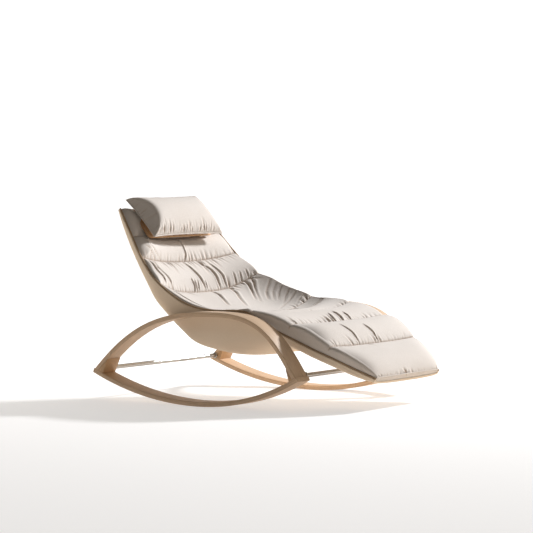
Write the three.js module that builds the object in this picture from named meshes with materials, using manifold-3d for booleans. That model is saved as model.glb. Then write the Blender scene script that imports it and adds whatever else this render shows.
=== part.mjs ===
import * as THREE from "three";
import { mergeVertices } from "three/addons/utils/BufferGeometryUtils.js";
import Module from "manifold-3d";

const wasm = await Module();
wasm.setup();

// A rocking chaise lounge: two bent-wood frames, each a rocker with an arch standing on its tips,
// carry a moulded seat shell with a quilted mattress and a loose head pillow.
// Millimetres. X runs from head to foot, Y across, Z up. It is drawn with the rockers' curve lowest
// at X = 0, and then rocks forward until it stands on the flat at balanceX, below its centre of mass.

// Frames
const frameWidth = 820; // over the outer faces of the two frames
const bandWidth = 77; // width of the bent laminated bands
const bandThickness = 20;
const bandChamfer = 2;
const rockRadius = 1860;
const balanceX = 96; // middle of the flat that the empty chaise comes to rest on
const balanceFlat = 40;
const rockerHeadReach = 580; // from the curve's lowest point to the tip at the head
const headSetback = 5; // what the shell's head falls short of the rockers' tips
const footOverhang = 238; // what the leg rest reaches past them
const footUpsweep = 34; // what the foot end rises above the plain rocking radius
const archHeight = 412;
const archHeadSetback = 11; // from the rocker's tip to the arch's heel
const archFootSetback = 14;
const archCrownShare = 0.657; // place of the crown between the rockers' tips
// Pull of the arch's curve at its heels and at its crown, for the half on either side of the crown.
const archPullShares = { head: 0.394, crownHead: 0.458, crownFoot: 0.5, foot: 0.493 };
const archHeadAngle = 43; // degrees from the floor at the heels
const archFootAngle = 53;
const jointGap = 0.3; // clearance between pieces that touch
const frameStep = 31; // length of one straight facet along the bands

// Corner blocks
const headBlockReach = 31; // what each block adds to the arch's heel along the rocker
const footBlockReach = 17;
const headBlockRise = 56; // how far each block climbs the arch
const footBlockRise = 42;
const blockTip = 1.5; // thickness left at the feathered tip

// Cross rods
const rodRadius = 10;
const tenonRadius = 6;
const tenonLength = 45;
const rodLift = 9.5; // from the rocker's upper face to the rod's axis
const headRodInset = 30; // from the rocker's tip, along the floor
const footRodInset = 18;
const ferruleWall = 4;
const ferruleLength = 9;
const boreClearance = 0.3;

// Joint screws
const jointScrew = { radius: 3, headRadius: 5.5, headDepth: 3 };
const screwRecess = 0.4;
const rodScrewInset = 20; // from the frame's inner face
const edgeScrewInset = 58;
const rodScrewReach = 4; // past the rod's axis
const edgeScrewReach = 16; // above the rocker

// Seat shell: its rim runs from the head to the foot
const bodyLength = 1486;
const headHeight = 826;
const shellThickness = 10;
const shellDepth = 206; // rim to belly under the seat
const spacerThickness = 2.4;
const pipingRadius = 3.5;

// Shell bolts
const boltShares = [0.36, 0.458, 0.555]; // places along bodyLength
const shellBolt = { radius: 3, headRadius: 6.5, headDepth: 3.5 };
const spacerRadius = 10;
const insertRadius = 5;
const insertLength = 15;

// Mattress and foam
const padGap = 0.5; // clearance of soft pieces
const padEdgeRise = 48; // how far the mattress's edge stands above the rim
const padHollow = 98; // how far its middle lies below its edges
const foamEdgeDepth = 6;
const puffHeights = [20, 26, 30, 30, 45, 24, 40, 28];

// Head pillow
const pillowWidth = 432;
const pillowLength = 248;
const pillowFront = 69;
const pillowBack = 40;
const pillowSeam = 3; // half the thickness left at the seam
const pillowDrawIn = 9; // what the sides pull in between the corners
const pillowDown = 97; // its middle, down the back from the rim at the head
const pillowOff = 48; // and out from the plane of the rim
const pillowAngle = 40.5; // degrees from the floor
const backingWidth = 404;
const backingLength = 168;
const backingThickness = 7;
const backingCorner = 22;
const backingDown = 108; // its middle, down the back
const pillowDrop = 30; // how far the pillow can be moved down the back

const radians = THREE.MathUtils.degToRad;
const mix = THREE.MathUtils.lerp;
const headReach = rockerHeadReach - headSetback;
const rockerFootReach = bodyLength - headReach - footOverhang;
const innerFace = frameWidth / 2 - bandWidth;
const shellHalfWidth = innerFace - 2 * jointGap - spacerThickness;
const overrun = bandWidth;

const finish = (color, roughness, metalness = 0) =>
  new THREE.MeshStandardMaterial({ color, roughness, metalness });
const beech = finish(0xc9a07a, 0.55);
const beechEnd = finish(0x8a6a4c, 0.6);
const chrome = finish(0xd9dbdd, 0.12, 1);
const zinc = finish(0xa9a9a4, 0.35, 1);
const brass = finish(0xb99a52, 0.35, 1);
const shellCloth = finish(0xcdbda6, 0.85);
const pipingBrown = finish(0x7c5a3e, 0.7);
const cream = finish(0xefe9e0, 0.9);
const foam = finish(0xe6dcb4, 0.95);
const felt = finish(0x3b3733, 0.95);
const tanLeather = finish(0xc0814c, 0.5);

const chaise = new THREE.Group();

function addPiece(name, geometry, material, parent = chaise) {
  const piece = new THREE.Mesh(geometry, material);
  piece.name = name;
  parent.add(piece);
  return piece;
}

// Closed solids, joined and cut

function solidOf(geometry) {
  const bare = geometry.index ? geometry.toNonIndexed() : geometry.clone();
  bare.deleteAttribute("normal");
  bare.deleteAttribute("uv");
  const merged = mergeVertices(bare, 1e-4);
  const vertProperties = new Float32Array(merged.getAttribute("position").array);
  const triVerts = new Uint32Array(merged.index.array);
  return new wasm.Manifold(new wasm.Mesh({ numProp: 3, vertProperties, triVerts }));
}

function geometryOf(solid) {
  const mesh = solid.getMesh();
  const geometry = new THREE.BufferGeometry();
  geometry.setAttribute("position", new THREE.BufferAttribute(mesh.vertProperties, 3));
  geometry.setIndex(new THREE.BufferAttribute(mesh.triVerts, 1));
  geometry.computeVertexNormals();
  return geometry;
}

function cut(geometry, tools) {
  const start = solidOf(geometry);
  return geometryOf(tools.reduce((rest, tool) => rest.subtract(solidOf(tool)), start));
}

// A prism whose outline lies in the XZ plane, running across from yLow to yHigh.
function across(outline, yLow, yHigh, chamfer = 0) {
  const shape = new THREE.Shape(outline);
  const geometry = new THREE.ExtrudeGeometry(shape, {
    depth: yHigh - yLow - 2 * chamfer,
    bevelEnabled: chamfer > 0,
    bevelThickness: chamfer,
    bevelSize: chamfer,
    bevelOffset: -chamfer,
    bevelSegments: 1,
    curveSegments: 1,
  });
  return geometry.rotateX(Math.PI / 2).translate(0, yHigh - chamfer, 0);
}

// A turned piece about its own Y axis, from [radius, height] points that start and end on the axis.
function turned(profile, sides = 16) {
  return new THREE.LatheGeometry(profile.map(([r, h]) => new THREE.Vector2(r, h)), sides);
}

// A turned ring, from the four corners of its wall.
function ring(innerRadius, outerRadius, length, sides = 12) {
  const corners = [[innerRadius, 0], [outerRadius, 0], [outerRadius, length], [innerRadius, length]];
  return turned([...corners, corners[0]], sides);
}

function faceOutward(geometry) {
  const position = geometry.getAttribute("position");
  const index = geometry.index.array;
  const corners = [0, 1, 2].map(() => new THREE.Vector3());
  let volume = 0;
  for (let i = 0; i < index.length; i += 3) {
    corners.forEach((corner, k) => corner.fromBufferAttribute(position, index[i + k]));
    volume += corners[0].dot(corners[1].cross(corners[2]));
  }
  if (volume < 0) {
    for (let i = 0; i < index.length; i += 3) {
      [index[i + 1], index[i + 2]] = [index[i + 2], index[i + 1]];
    }
  }
  geometry.computeVertexNormals();
  return geometry;
}

// A thick sheet: the closed body between two grids of points of the same size.
function sheetBody(upper, lower) {
  const rows = upper.length;
  const columns = upper[0].length;
  const points = [...upper.flat(), ...lower.flat()];
  const at = (layer, i, j) => (layer * rows + i) * columns + j;
  const index = [];
  const quad = (a, b, c, d) => index.push(a, b, c, a, c, d);
  for (let i = 0; i < rows - 1; i++) {
    for (let j = 0; j < columns - 1; j++) {
      quad(at(0, i, j), at(0, i + 1, j), at(0, i + 1, j + 1), at(0, i, j + 1));
      quad(at(1, i, j), at(1, i, j + 1), at(1, i + 1, j + 1), at(1, i + 1, j));
    }
    quad(at(0, i, 0), at(1, i, 0), at(1, i + 1, 0), at(0, i + 1, 0));
    const j = columns - 1;
    quad(at(0, i, j), at(0, i + 1, j), at(1, i + 1, j), at(1, i, j));
  }
  for (let j = 0; j < columns - 1; j++) {
    const i = rows - 1;
    quad(at(0, 0, j), at(0, 0, j + 1), at(1, 0, j + 1), at(1, 0, j));
    quad(at(0, i, j), at(1, i, j), at(1, i, j + 1), at(0, i, j + 1));
  }
  const geometry = new THREE.BufferGeometry().setFromPoints(points);
  geometry.setIndex(index);
  return faceOutward(geometry);
}

// A closed tube through rings of points of the same size.
function tubeBody(rings) {
  const sides = rings[0].length;
  const points = rings.flat();
  const index = [];
  for (let i = 0; i < rings.length - 1; i++) {
    for (let k = 0; k < sides; k++) {
      const next = (k + 1) % sides;
      const [a, b, c, d] = [i * sides + k, i * sides + next, (i + 1) * sides + next, (i + 1) * sides + k];
      index.push(a, b, c, a, c, d);
    }
  }
  const last = (rings.length - 1) * sides;
  for (let k = 1; k < sides - 1; k++) {
    index.push(0, k + 1, k, last, last + k, last + k + 1);
  }
  const geometry = new THREE.BufferGeometry().setFromPoints(points);
  geometry.setIndex(index);
  return faceOutward(geometry);
}

// Frames: curves in the XZ plane

// The rocker's lower face at x, with the unit direction along it towards the foot.
function rockerLower(x) {
  const rise = rockRadius - Math.sqrt(rockRadius ** 2 - x ** 2);
  const sweep = x > 0 ? footUpsweep * (x / rockerFootReach) ** 3 : 0;
  const slope = x / Math.sqrt(rockRadius ** 2 - x ** 2) + (x > 0 ? (3 * sweep) / x : 0);
  return { point: new THREE.Vector2(x, rise + sweep), along: new THREE.Vector2(1, slope).normalize() };
}

// A point that stands off from the rocker's lower face, square to it.
function offRocker(x, distance) {
  const { point, along } = rockerLower(x);
  return new THREE.Vector2(point.x - along.y * distance, point.y + along.x * distance);
}

function rockerOutline() {
  const flatStart = balanceX - balanceFlat / 2;
  const flatEnd = balanceX + balanceFlat / 2;
  const headSteps = Math.round((rockerHeadReach + flatStart) / frameStep);
  const footSteps = Math.round((rockerFootReach - flatEnd) / frameStep);
  const places = [];
  for (let i = 0; i <= headSteps; i++) places.push(mix(-rockerHeadReach, flatStart, i / headSteps));
  for (let i = 0; i <= footSteps; i++) places.push(mix(flatEnd, rockerFootReach, i / footSteps));
  const low = places.map((x) => offRocker(x, 0));
  const high = places.map((x) => offRocker(x, bandThickness));
  return [...low, ...high.reverse()];
}

// Height of the rocker's upper face above the floor, at a place along the floor.
function rockerTop(x) {
  let foot = x;
  for (let i = 0; i < 6; i++) foot += x - offRocker(foot, bandThickness).x;
  return offRocker(foot, bandThickness).y;
}

const turn = (angle) => new THREE.Vector2(Math.cos(radians(angle)), Math.sin(radians(angle)));
const archHead = new THREE.Vector2(-rockerHeadReach + archHeadSetback, 0);
archHead.y = rockerTop(archHead.x) + jointGap;
const archFoot = new THREE.Vector2(rockerFootReach - archFootSetback, 0);
archFoot.y = rockerTop(archFoot.x) + jointGap;
const archCrown = new THREE.Vector2(mix(-rockerHeadReach, rockerFootReach, archCrownShare), archHeight);
const headRun = archCrown.x - archHead.x;
const footRun = archFoot.x - archCrown.x;
const archCurves = [
  new THREE.CubicBezierCurve(
    archHead,
    archHead.clone().addScaledVector(turn(archHeadAngle), archPullShares.head * headRun),
    new THREE.Vector2(archCrown.x - archPullShares.crownHead * headRun, archHeight),
    archCrown,
  ),
  new THREE.CubicBezierCurve(
    archCrown,
    new THREE.Vector2(archCrown.x + archPullShares.crownFoot * footRun, archHeight),
    archFoot.clone().addScaledVector(turn(180 - archFootAngle), archPullShares.foot * footRun),
    archFoot,
  ),
];

// A point of the arch, depth below its outer face; place runs from 0 at the head to 2 at the foot.
function archPoint(place, depth) {
  const half = place < 1 ? 0 : 1;
  const curve = archCurves[half];
  const share = THREE.MathUtils.clamp(place - half, 0, 1);
  const point = curve.getPoint(share);
  const along = curve.getTangent(share);
  return new THREE.Vector2(point.x + along.y * depth, point.y - along.x * depth);
}

// The place where a line depth below the arch's outer face comes down on the rocker.
function archLanding(end, depth) {
  let [low, high] = end === "head" ? [0, 1] : [2, 1];
  for (let i = 0; i < 40; i++) {
    const middle = (low + high) / 2;
    const point = archPoint(middle, depth);
    if (point.y < rockerTop(point.x) + jointGap) low = middle;
    else high = middle;
  }
  return high;
}

function archOutline() {
  const steps = [archCurves[0], archCurves[1]].map((curve) => Math.round(curve.getLength() / frameStep));
  const outer = [];
  const inner = [];
  const start = archLanding("head", bandThickness);
  const end = archLanding("foot", bandThickness);
  const sample = (from, to, count, depth, list) => {
    for (let i = 0; i < count; i++) list.push(archPoint(mix(from, to, i / count), depth));
  };
  sample(0, 1, steps[0], 0, outer);
  sample(1, 2, steps[1], 0, outer);
  outer.push(archPoint(2, 0));
  sample(start, 1, steps[0], bandThickness, inner);
  sample(1, end, steps[1], bandThickness, inner);
  inner.push(archPoint(end, bandThickness));
  return [...outer, ...inner.reverse()];
}

// Height of the arch's middle layer at a place along the floor.
function archMiddle(x) {
  let [low, high] = [0, 2];
  for (let i = 0; i < 40; i++) {
    const middle = (low + high) / 2;
    if (archPoint(middle, bandThickness / 2).x < x) low = middle;
    else high = middle;
  }
  return archPoint(low, bandThickness / 2).y;
}

const tipStepShare = 0.01; // how finely the wedge's tip is sought along the arch

// A wedge between the arch's inner face and the rocker, from the feathered tip down.
function blockOutline(end, reach, rise) {
  const sign = end === "head" ? 1 : -1;
  const landing = archLanding(end, bandThickness + jointGap);
  const heel = archPoint(landing, bandThickness + jointGap);
  let tip = landing;
  while (archPoint(tip, bandThickness + jointGap).y < heel.y + rise) tip += sign * tipStepShare;
  const count = 4;
  const arch = [];
  for (let i = 0; i <= count; i++) {
    arch.push(archPoint(mix(tip, landing, i / count), bandThickness + jointGap));
  }
  const toe = new THREE.Vector2(heel.x + sign * reach, 0);
  toe.y = rockerTop(toe.x) + jointGap;
  const feather = archPoint(tip, bandThickness + jointGap + blockTip);
  return [...arch, toe, feather];
}

const rodJoints = {
  head: { x: -rockerHeadReach + headRodInset, centre: null },
  foot: { x: rockerFootReach - footRodInset, centre: null },
};
for (const joint of Object.values(rodJoints)) {
  joint.centre = offRocker(joint.x, bandThickness + jointGap + rodLift);
}

// A cylinder across the chaise, from yLow to yHigh, to cut or to keep.
function crossCylinder(radius, centre, yLow, yHigh, sides = 16) {
  const geometry = new THREE.CylinderGeometry(radius, radius, yHigh - yLow, sides);
  return geometry.translate(centre.x, (yLow + yHigh) / 2, centre.y);
}

// A screw's own shape along +Y, its countersunk head at the start.
function screwShape(size, length) {
  const { radius, headRadius, headDepth } = size;
  const profile = [[0, 0], [headRadius, 0], [radius, headDepth], [radius, length], [0, length]];
  return turned(profile, 12);
}

// The hole for it, open at the start over the depth that the head is sunk by.
function screwHole(size, length, sink) {
  const [radius, headRadius] = [size.radius + boreClearance, size.headRadius + boreClearance];
  const end = sink + length + boreClearance;
  const profile = [[0, -sink], [headRadius, -sink], [headRadius, sink], [radius, sink + size.headDepth]];
  return turned([...profile, [radius, end], [0, end]], 12);
}

// Stands a +Y shape on the rocker's lower face at a joint, square to the face, at y across.
function standOnRocker(geometry, joint, y, sink) {
  const start = offRocker(joint.x, sink);
  const { along } = rockerLower(joint.x);
  geometry.rotateX(Math.PI / 2).rotateY(-Math.atan2(along.y, along.x));
  return geometry.translate(start.x, y, start.y);
}

const screwRows = [
  { name: "rod", inset: rodScrewInset, length: bandThickness + jointGap + rodLift + rodScrewReach },
  { name: "edge", inset: edgeScrewInset, length: bandThickness + jointGap + edgeScrewReach },
];

function screwHoles(side) {
  const tools = [];
  for (const joint of Object.values(rodJoints)) {
    for (const row of screwRows) {
      const hole = screwHole(jointScrew, row.length, screwRecess);
      tools.push(standOnRocker(hole, joint, side * (innerFace + row.inset), 0));
    }
  }
  return tools;
}

function tenonBores(side) {
  const [low, high] = [innerFace - overrun, innerFace + tenonLength + boreClearance];
  const span = side > 0 ? [low, high] : [-high, -low];
  return Object.values(rodJoints).map(({ centre }) =>
    crossCylinder(tenonRadius + boreClearance, centre, ...span),
  );
}

const boltPlaces = boltShares.map((share) => {
  const x = -headReach + share * bodyLength;
  return new THREE.Vector2(x, archMiddle(x));
});

function insertBores(side) {
  const depth = insertLength + boreClearance;
  const span = side > 0 ? [innerFace - overrun, innerFace + depth] : [-innerFace - depth, -innerFace + overrun];
  return boltPlaces.map((place) => crossCylinder(insertRadius + boreClearance, place, ...span));
}

function buildFrame(side, sideName) {
  const span = side > 0 ? [innerFace, frameWidth / 2] : [-frameWidth / 2, -innerFace];
  const holes = screwHoles(side);
  const bores = tenonBores(side);
  addPiece(`rocker_${sideName}`, cut(across(rockerOutline(), ...span, bandChamfer), holes), beech);
  const archCuts = [...holes, ...bores, ...insertBores(side)];
  addPiece(`arch_${sideName}`, cut(across(archOutline(), ...span, bandChamfer), archCuts), beech);
  const blocks = { head: [headBlockReach, headBlockRise], foot: [footBlockReach, footBlockRise] };
  for (const [end, [reach, rise]] of Object.entries(blocks)) {
    const solid = cut(across(blockOutline(end, reach, rise), ...span), [...holes, ...bores]);
    addPiece(`corner_block_${end}_${sideName}`, solid, beechEnd);
  }
  for (const [end, joint] of Object.entries(rodJoints)) {
    for (const row of screwRows) {
      const screw = screwShape(jointScrew, row.length);
      standOnRocker(screw, joint, side * (innerFace + row.inset), screwRecess);
      addPiece(`joint_screw_${row.name}_${end}_${sideName}`, screw, zinc);
    }
    const bore = rodRadius + boreClearance;
    const ferrule = ring(bore, bore + ferruleWall, ferruleLength, 20);
    const near = innerFace - jointGap - ferruleLength;
    ferrule.translate(joint.centre.x, side > 0 ? near : -near - ferruleLength, joint.centre.y);
    addPiece(`rod_ferrule_${end}_${sideName}`, ferrule, chrome);
  }
}

function buildRods() {
  const shoulder = innerFace - jointGap;
  const reach = innerFace + tenonLength;
  for (const [end, joint] of Object.entries(rodJoints)) {
    const profile = [
      [0, -reach], [tenonRadius, -reach], [tenonRadius, -shoulder], [rodRadius, -shoulder],
      [rodRadius, shoulder], [tenonRadius, shoulder], [tenonRadius, reach], [0, reach],
    ];
    const rod = turned(profile, 20).translate(joint.centre.x, 0, joint.centre.y);
    const holes = [-1, 1].map((side) => {
      const hole = screwHole(jointScrew, screwRows[0].length, screwRecess);
      return standOnRocker(hole, joint, side * (innerFace + rodScrewInset), 0);
    });
    addPiece(`cross_rod_${end}`, cut(rod, holes), chrome);
  }
}

// Seat shell: sections from head (row 0) to foot (row 21)

// Each row: the rim's place along bodyLength and its share of headHeight, the half width as a share
// of shellHalfWidth, the depth and the mattress's depth as shares of shellDepth, the lean of the
// section in degrees, how square it is, and the mattress's edge rise and hollow as shares.
const rowShares = [
  { along: 0, up: 1, wide: 0.765, deep: 0.22, pad: 1, lean: 47.5, square: 0, rise: 0.17, hollow: 0.16 },
  { along: 0.031, up: 0.94, wide: 0.803, deep: 0.36, pad: 1, lean: 47.5, square: 0, rise: 0.17, hollow: 0.22 },
  { along: 0.075, up: 0.851, wide: 0.85, deep: 0.456, pad: 1, lean: 47, square: 0, rise: 0.11, hollow: 0.28 },
  { along: 0.128, up: 0.748, wide: 0.91, deep: 0.485, pad: 1, lean: 45, square: 0, rise: 0.06, hollow: 0.39 },
  { along: 0.185, up: 0.657, wide: 0.957, deep: 0.58, pad: 0.46, lean: 41, square: 0.1, rise: 0.5, hollow: 0.72 },
  { along: 0.227, up: 0.609, wide: 0.982, deep: 0.7, pad: 0.515, lean: 36, square: 0.3, rise: 0.74, hollow: 1.03 },
  { along: 0.275, up: 0.564, wide: 0.996, deep: 0.73, pad: 0.515, lean: 30, square: 0.6, rise: 0.97, hollow: 1.04 },
  { along: 0.328, up: 0.524, wide: 1, deep: 0.79, pad: 0.5, lean: 24, square: 1, rise: 1, hollow: 1.03 },
  { along: 0.379, up: 0.501, wide: 1, deep: 0.946, pad: 0.475, lean: 18, square: 1, rise: 1.03, hollow: 1.02 },
  { along: 0.434, up: 0.493, wide: 1, deep: 0.976, pad: 0.427, lean: 11, square: 1, rise: 0.93, hollow: 0.85 },
  { along: 0.488, up: 0.494, wide: 1, deep: 1, pad: 0.32, lean: 5, square: 1, rise: 0.54, hollow: 0.42 },
  { along: 0.542, up: 0.5, wide: 1, deep: 0.985, pad: 0.243, lean: 1, square: 1, rise: 0.31, hollow: 0.12 },
  { along: 0.589, up: 0.498, wide: 1, deep: 0.903, pad: 0.213, lean: 3, square: 1, rise: 0.31, hollow: 0.15 },
  { along: 0.622, up: 0.472, wide: 0.985, deep: 0.728, pad: 0.204, lean: 8, square: 1, rise: 0.52, hollow: 0.19 },
  { along: 0.663, up: 0.437, wide: 0.964, deep: 0.505, pad: 0.213, lean: 15, square: 1, rise: 0.92, hollow: 0.17 },
  { along: 0.711, up: 0.404, wide: 0.942, deep: 0.32, pad: 1, lean: 20, square: 1, rise: 1.18, hollow: 0.15 },
  { along: 0.767, up: 0.369, wide: 0.912, deep: 0.252, pad: 1, lean: 21, square: 1, rise: 1.18, hollow: 0.13 },
  { along: 0.824, up: 0.333, wide: 0.882, deep: 0.243, pad: 1, lean: 21, square: 1, rise: 1.02, hollow: 0.1 },
  { along: 0.882, up: 0.297, wide: 0.83, deep: 0.233, pad: 1, lean: 21, square: 1, rise: 0.92, hollow: 0.09 },
  { along: 0.932, up: 0.26, wide: 0.76, deep: 0.214, pad: 1, lean: 22, square: 1, rise: 0.69, hollow: 0.07 },
  { along: 0.972, up: 0.23, wide: 0.694, deep: 0.175, pad: 1, lean: 23, square: 1, rise: 0.46, hollow: 0.06 },
  { along: 1, up: 0.207, wide: 0.63, deep: 0.117, pad: 1, lean: 24, square: 1, rise: 0.25, hollow: 0.05 },
];
const lastRow = rowShares.length - 1;
const rowCurves = {};
for (const key of Object.keys(rowShares[0])) {
  rowCurves[key] = new THREE.SplineCurve(rowShares.map((row, i) => new THREE.Vector2(i, row[key])));
}

// The mattress's ends and sewn channels, as shares of the way through the rows; between them stand
// its eight puffs. At the knees it is split in two.
const seamShares = [0.005, 0.0967, 0.1486, 0.2381, 0.4476, 0.5905, 0.7333, 0.8429, 0.9967];
const splitShare = 0.0003;
const seamRows = seamShares.map((share) => share * lastRow);
const kneeSeam = seamRows[5];
const splitRow = splitShare * lastRow;
const puffSteps = [4, 4, 5, 7, 7, 5, 5, 6];

function station(row) {
  const share = (key) => rowCurves[key].getPoint(row / lastRow).y;
  const depth = share("deep") * shellDepth;
  const innerDepth = depth - shellThickness;
  return {
    row,
    x: -headReach + share("along") * bodyLength,
    z: share("up") * headHeight,
    halfWidth: Math.min(share("wide"), 1) * shellHalfWidth,
    depth,
    padDepth: Math.min(share("pad") * shellDepth, innerDepth - padGap),
    lean: radians(share("lean")),
    square: THREE.MathUtils.clamp(share("square"), 0, 1),
    rise: share("rise") * padEdgeRise,
    hollow: share("hollow") * padHollow,
  };
}

// The rows of all sections: closer together beside the seams, where the mattress dips.
function stationRows() {
  const rows = [0];
  for (let p = 0; p < seamRows.length - 1; p++) {
    const from = seamRows[p] === kneeSeam ? kneeSeam + splitRow : seamRows[p];
    const to = seamRows[p + 1] === kneeSeam ? kneeSeam - splitRow : seamRows[p + 1];
    const first = p === 0 || seamRows[p] === kneeSeam ? 0 : 1;
    for (let k = first; k <= puffSteps[p]; k++) {
      rows.push(mix(from, to, (1 - Math.cos((Math.PI * k) / puffSteps[p])) / 2));
    }
  }
  return [...rows, lastRow];
}
const stations = stationRows().map(station);
const padStations = stations.slice(1, -1);
const seatStations = padStations.filter((place) => place.row < kneeSeam);
const legStations = padStations.filter((place) => place.row > kneeSeam);

// The point of a section at y across and q above the plane of the rim.
function sectionPoint(place, y, q) {
  return new THREE.Vector3(place.x + q * Math.sin(place.lean), y, place.z + q * Math.cos(place.lean));
}

const backWallShare = 0.06; // straight part of the section's side, on the back and at the seat
const seatWallShare = 0.28;
const backPower = 2.3; // how square its turn into the belly is
const seatPower = 3;

// Half of a section from the rim down to the middle, as shares of the half width and the depth.
function halfSection(square, steps) {
  const wall = mix(backWallShare, seatWallShare, square);
  const power = 2 / mix(backPower, seatPower, square);
  const points = [[1, 0]];
  for (let i = 0; i < steps; i++) {
    const angle = ((i / steps) * Math.PI) / 2;
    points.push([Math.cos(angle) ** power, wall + (1 - wall) * Math.sin(angle) ** power]);
  }
  return [...points, [0, 1]];
}

// A whole section as points, from one rim down and up to the other.
function trough(place, halfWidth, depth, steps, drop = 0) {
  const half = halfSection(place.square, steps);
  const right = half.map(([wide, deep]) => sectionPoint(place, wide * halfWidth, -deep * depth - drop));
  const left = half.slice(0, -1).map(([wide, deep]) => sectionPoint(place, -wide * halfWidth, -deep * depth - drop));
  return [...left, ...right.reverse()];
}

const sectionSteps = 7;

function shellSheet() {
  const outer = stations.map((place) => trough(place, place.halfWidth, place.depth, sectionSteps));
  const inner = stations.map((place) =>
    trough(place, place.halfWidth - shellThickness, place.depth - shellThickness, sectionSteps),
  );
  return sheetBody(inner, outer);
}

// A shell bolt's place along Y: its head lies in the shell's inner face.
const boltHeadY = shellHalfWidth - shellThickness;

function throughWall(geometry, side, place, y) {
  if (side < 0) geometry.rotateX(Math.PI);
  return geometry.translate(place.x, side * y, place.y);
}

function buildShell() {
  const holes = [];
  for (const side of [-1, 1]) {
    for (const place of boltPlaces) {
      const hole = screwHole(shellBolt, overrun, jointGap);
      holes.push(throughWall(hole, side, place, boltHeadY));
    }
  }
  addPiece("seat_shell", cut(shellSheet(), holes), shellCloth);
}

function buildPiping(side, sideName) {
  const sides = 6;
  const middles = stations.map((place) =>
    sectionPoint(place, side * (place.halfWidth - shellThickness / 2), pipingRadius + jointGap),
  );
  const rings = stations.map((place, i) => {
    const loop = [];
    for (let k = 0; k < sides; k++) {
      const angle = ((k + 0.5) / sides) * 2 * Math.PI;
      const outward = Math.cos(angle) * pipingRadius;
      const upward = Math.sin(angle) * pipingRadius;
      const up = new THREE.Vector3(Math.sin(place.lean), 0, Math.cos(place.lean));
      loop.push(middles[i].clone().addScaledVector(up, upward).add(new THREE.Vector3(0, side * outward, 0)));
    }
    return loop;
  });
  addPiece(`rim_piping_${sideName}`, tubeBody(rings), pipingBrown);
}

function buildBolts(side, sideName) {
  boltPlaces.forEach((place, i) => {
    const label = `${i + 1}_${sideName}`;
    const bore = shellBolt.radius + boreClearance;
    const bolt = screwShape(shellBolt, innerFace + insertLength - boltHeadY - shellBolt.headDepth);
    addPiece(`shell_bolt_${label}`, throughWall(bolt, side, place, boltHeadY + jointGap), zinc);
    const spacer = ring(bore, spacerRadius, spacerThickness);
    addPiece(`shell_spacer_${label}`, throughWall(spacer, side, place, shellHalfWidth + jointGap), felt);
    const insert = ring(bore, insertRadius, insertLength - jointGap);
    addPiece(`threaded_insert_${label}`, throughWall(insert, side, place, innerFace + jointGap), brass);
  });
}

// Mattress

// Shares of the half width for the columns of the mattress's upper face, from edge to middle.
const columnShares = [1, 0.985, 0.95, 0.88, 0.76, 0.61, 0.43, 0.23, 0];
const edgeRoundShare = 0.91; // where the crowned edge begins to turn down
const edgeDropShare = 0.42; // how far it has turned down where it meets the side
const backHollowPower = 2.4; // how flat the hollow's floor is
const seatHollowPower = 3.8;
// What is left of each puff at the mattress's edge, and how flat it is across.
const edgePuffShares = [0.25, 0.25, 0.4, 0.4, 0.1, 0.35, 0.35, 0.3];
const puffPowers = [6, 6, 6, 6, 2.2, 8, 8, 8];

// How far a puff stands up at a row, and at a share of the half width.
function puffAt(row, wide) {
  const p = seamRows.findIndex((seam, i) => row >= seam && row <= seamRows[i + 1]);
  const share = (row - seamRows[p]) / (seamRows[p + 1] - seamRows[p]);
  const along = Math.sin(Math.PI * THREE.MathUtils.clamp(share, 0, 1)) ** 0.75;
  const crosswise = mix(edgePuffShares[p], 1, 1 - wide ** puffPowers[p]);
  return puffHeights[p] * along * crosswise;
}

// Height of the mattress's upper face above the plane of the rim.
function padTop(place, share) {
  const wide = Math.abs(share);
  const power = mix(backHollowPower, seatHollowPower, place.square);
  const bowl = place.rise - place.hollow * (1 - wide ** power);
  const turnDown = Math.max(0, (wide - edgeRoundShare) / (1 - edgeRoundShare)) ** 2;
  const edge = Math.max(place.rise + puffAt(place.row, 1), pipingRadius);
  return bowl + puffAt(place.row, wide) - turnDown * edgeDropShare * edge;
}

function padUpper(place) {
  const reach = place.halfWidth - shellThickness - padGap;
  const half = columnShares.map((share) => sectionPoint(place, share * reach, padTop(place, share)));
  const mirrored = half.slice(0, -1).map((point) => new THREE.Vector3(point.x, -point.y, point.z));
  return [...mirrored, ...half.reverse()];
}

function padLower(place, drop = 0) {
  return trough(place, place.halfWidth - shellThickness - padGap, place.padDepth, sectionSteps, drop);
}

function buildCushion(name, places) {
  addPiece(name, sheetBody(places.map(padUpper), places.map((place) => padLower(place))), cream);
}

// The foam bed fills the shell below the mattress, where there is room for it.
function buildFoam() {
  const room = (place) => place.depth - shellThickness - place.padDepth - 3 * padGap;
  const places = padStations.filter((place) => room(place) > foamEdgeDepth && place.row > seamRows[2]);
  const trim = (points) => points.slice(3, -3);
  const upper = places.map((place) => trim(padLower(place, padGap)));
  const lower = places.map((place) => {
    const depth = place.depth - shellThickness - padGap;
    return trim(trough(place, place.halfWidth - shellThickness - padGap, depth, sectionSteps));
  });
  addPiece("seat_foam", sheetBody(upper, lower), foam);
}

// Head pillow

const backPlace = station(0);
const backAngle = radians(rowShares[0].lean);
const downBack = new THREE.Vector3(Math.cos(backAngle), 0, -Math.sin(backAngle));
const offBack = new THREE.Vector3(Math.sin(backAngle), 0, Math.cos(backAngle));

// A point given by its distance down the back from the rim at the head, and out from the rim's plane.
function onBack(down, off) {
  const start = sectionPoint(backPlace, 0, 0);
  return start.addScaledVector(downBack, down).addScaledVector(offBack, off);
}

// How far a point stands out from the plane of the rim at the head.
function offRim(point) {
  return point.clone().sub(sectionPoint(backPlace, 0, 0)).dot(offBack);
}

function downRim(point) {
  return point.clone().sub(sectionPoint(backPlace, 0, 0)).dot(downBack);
}

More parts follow.
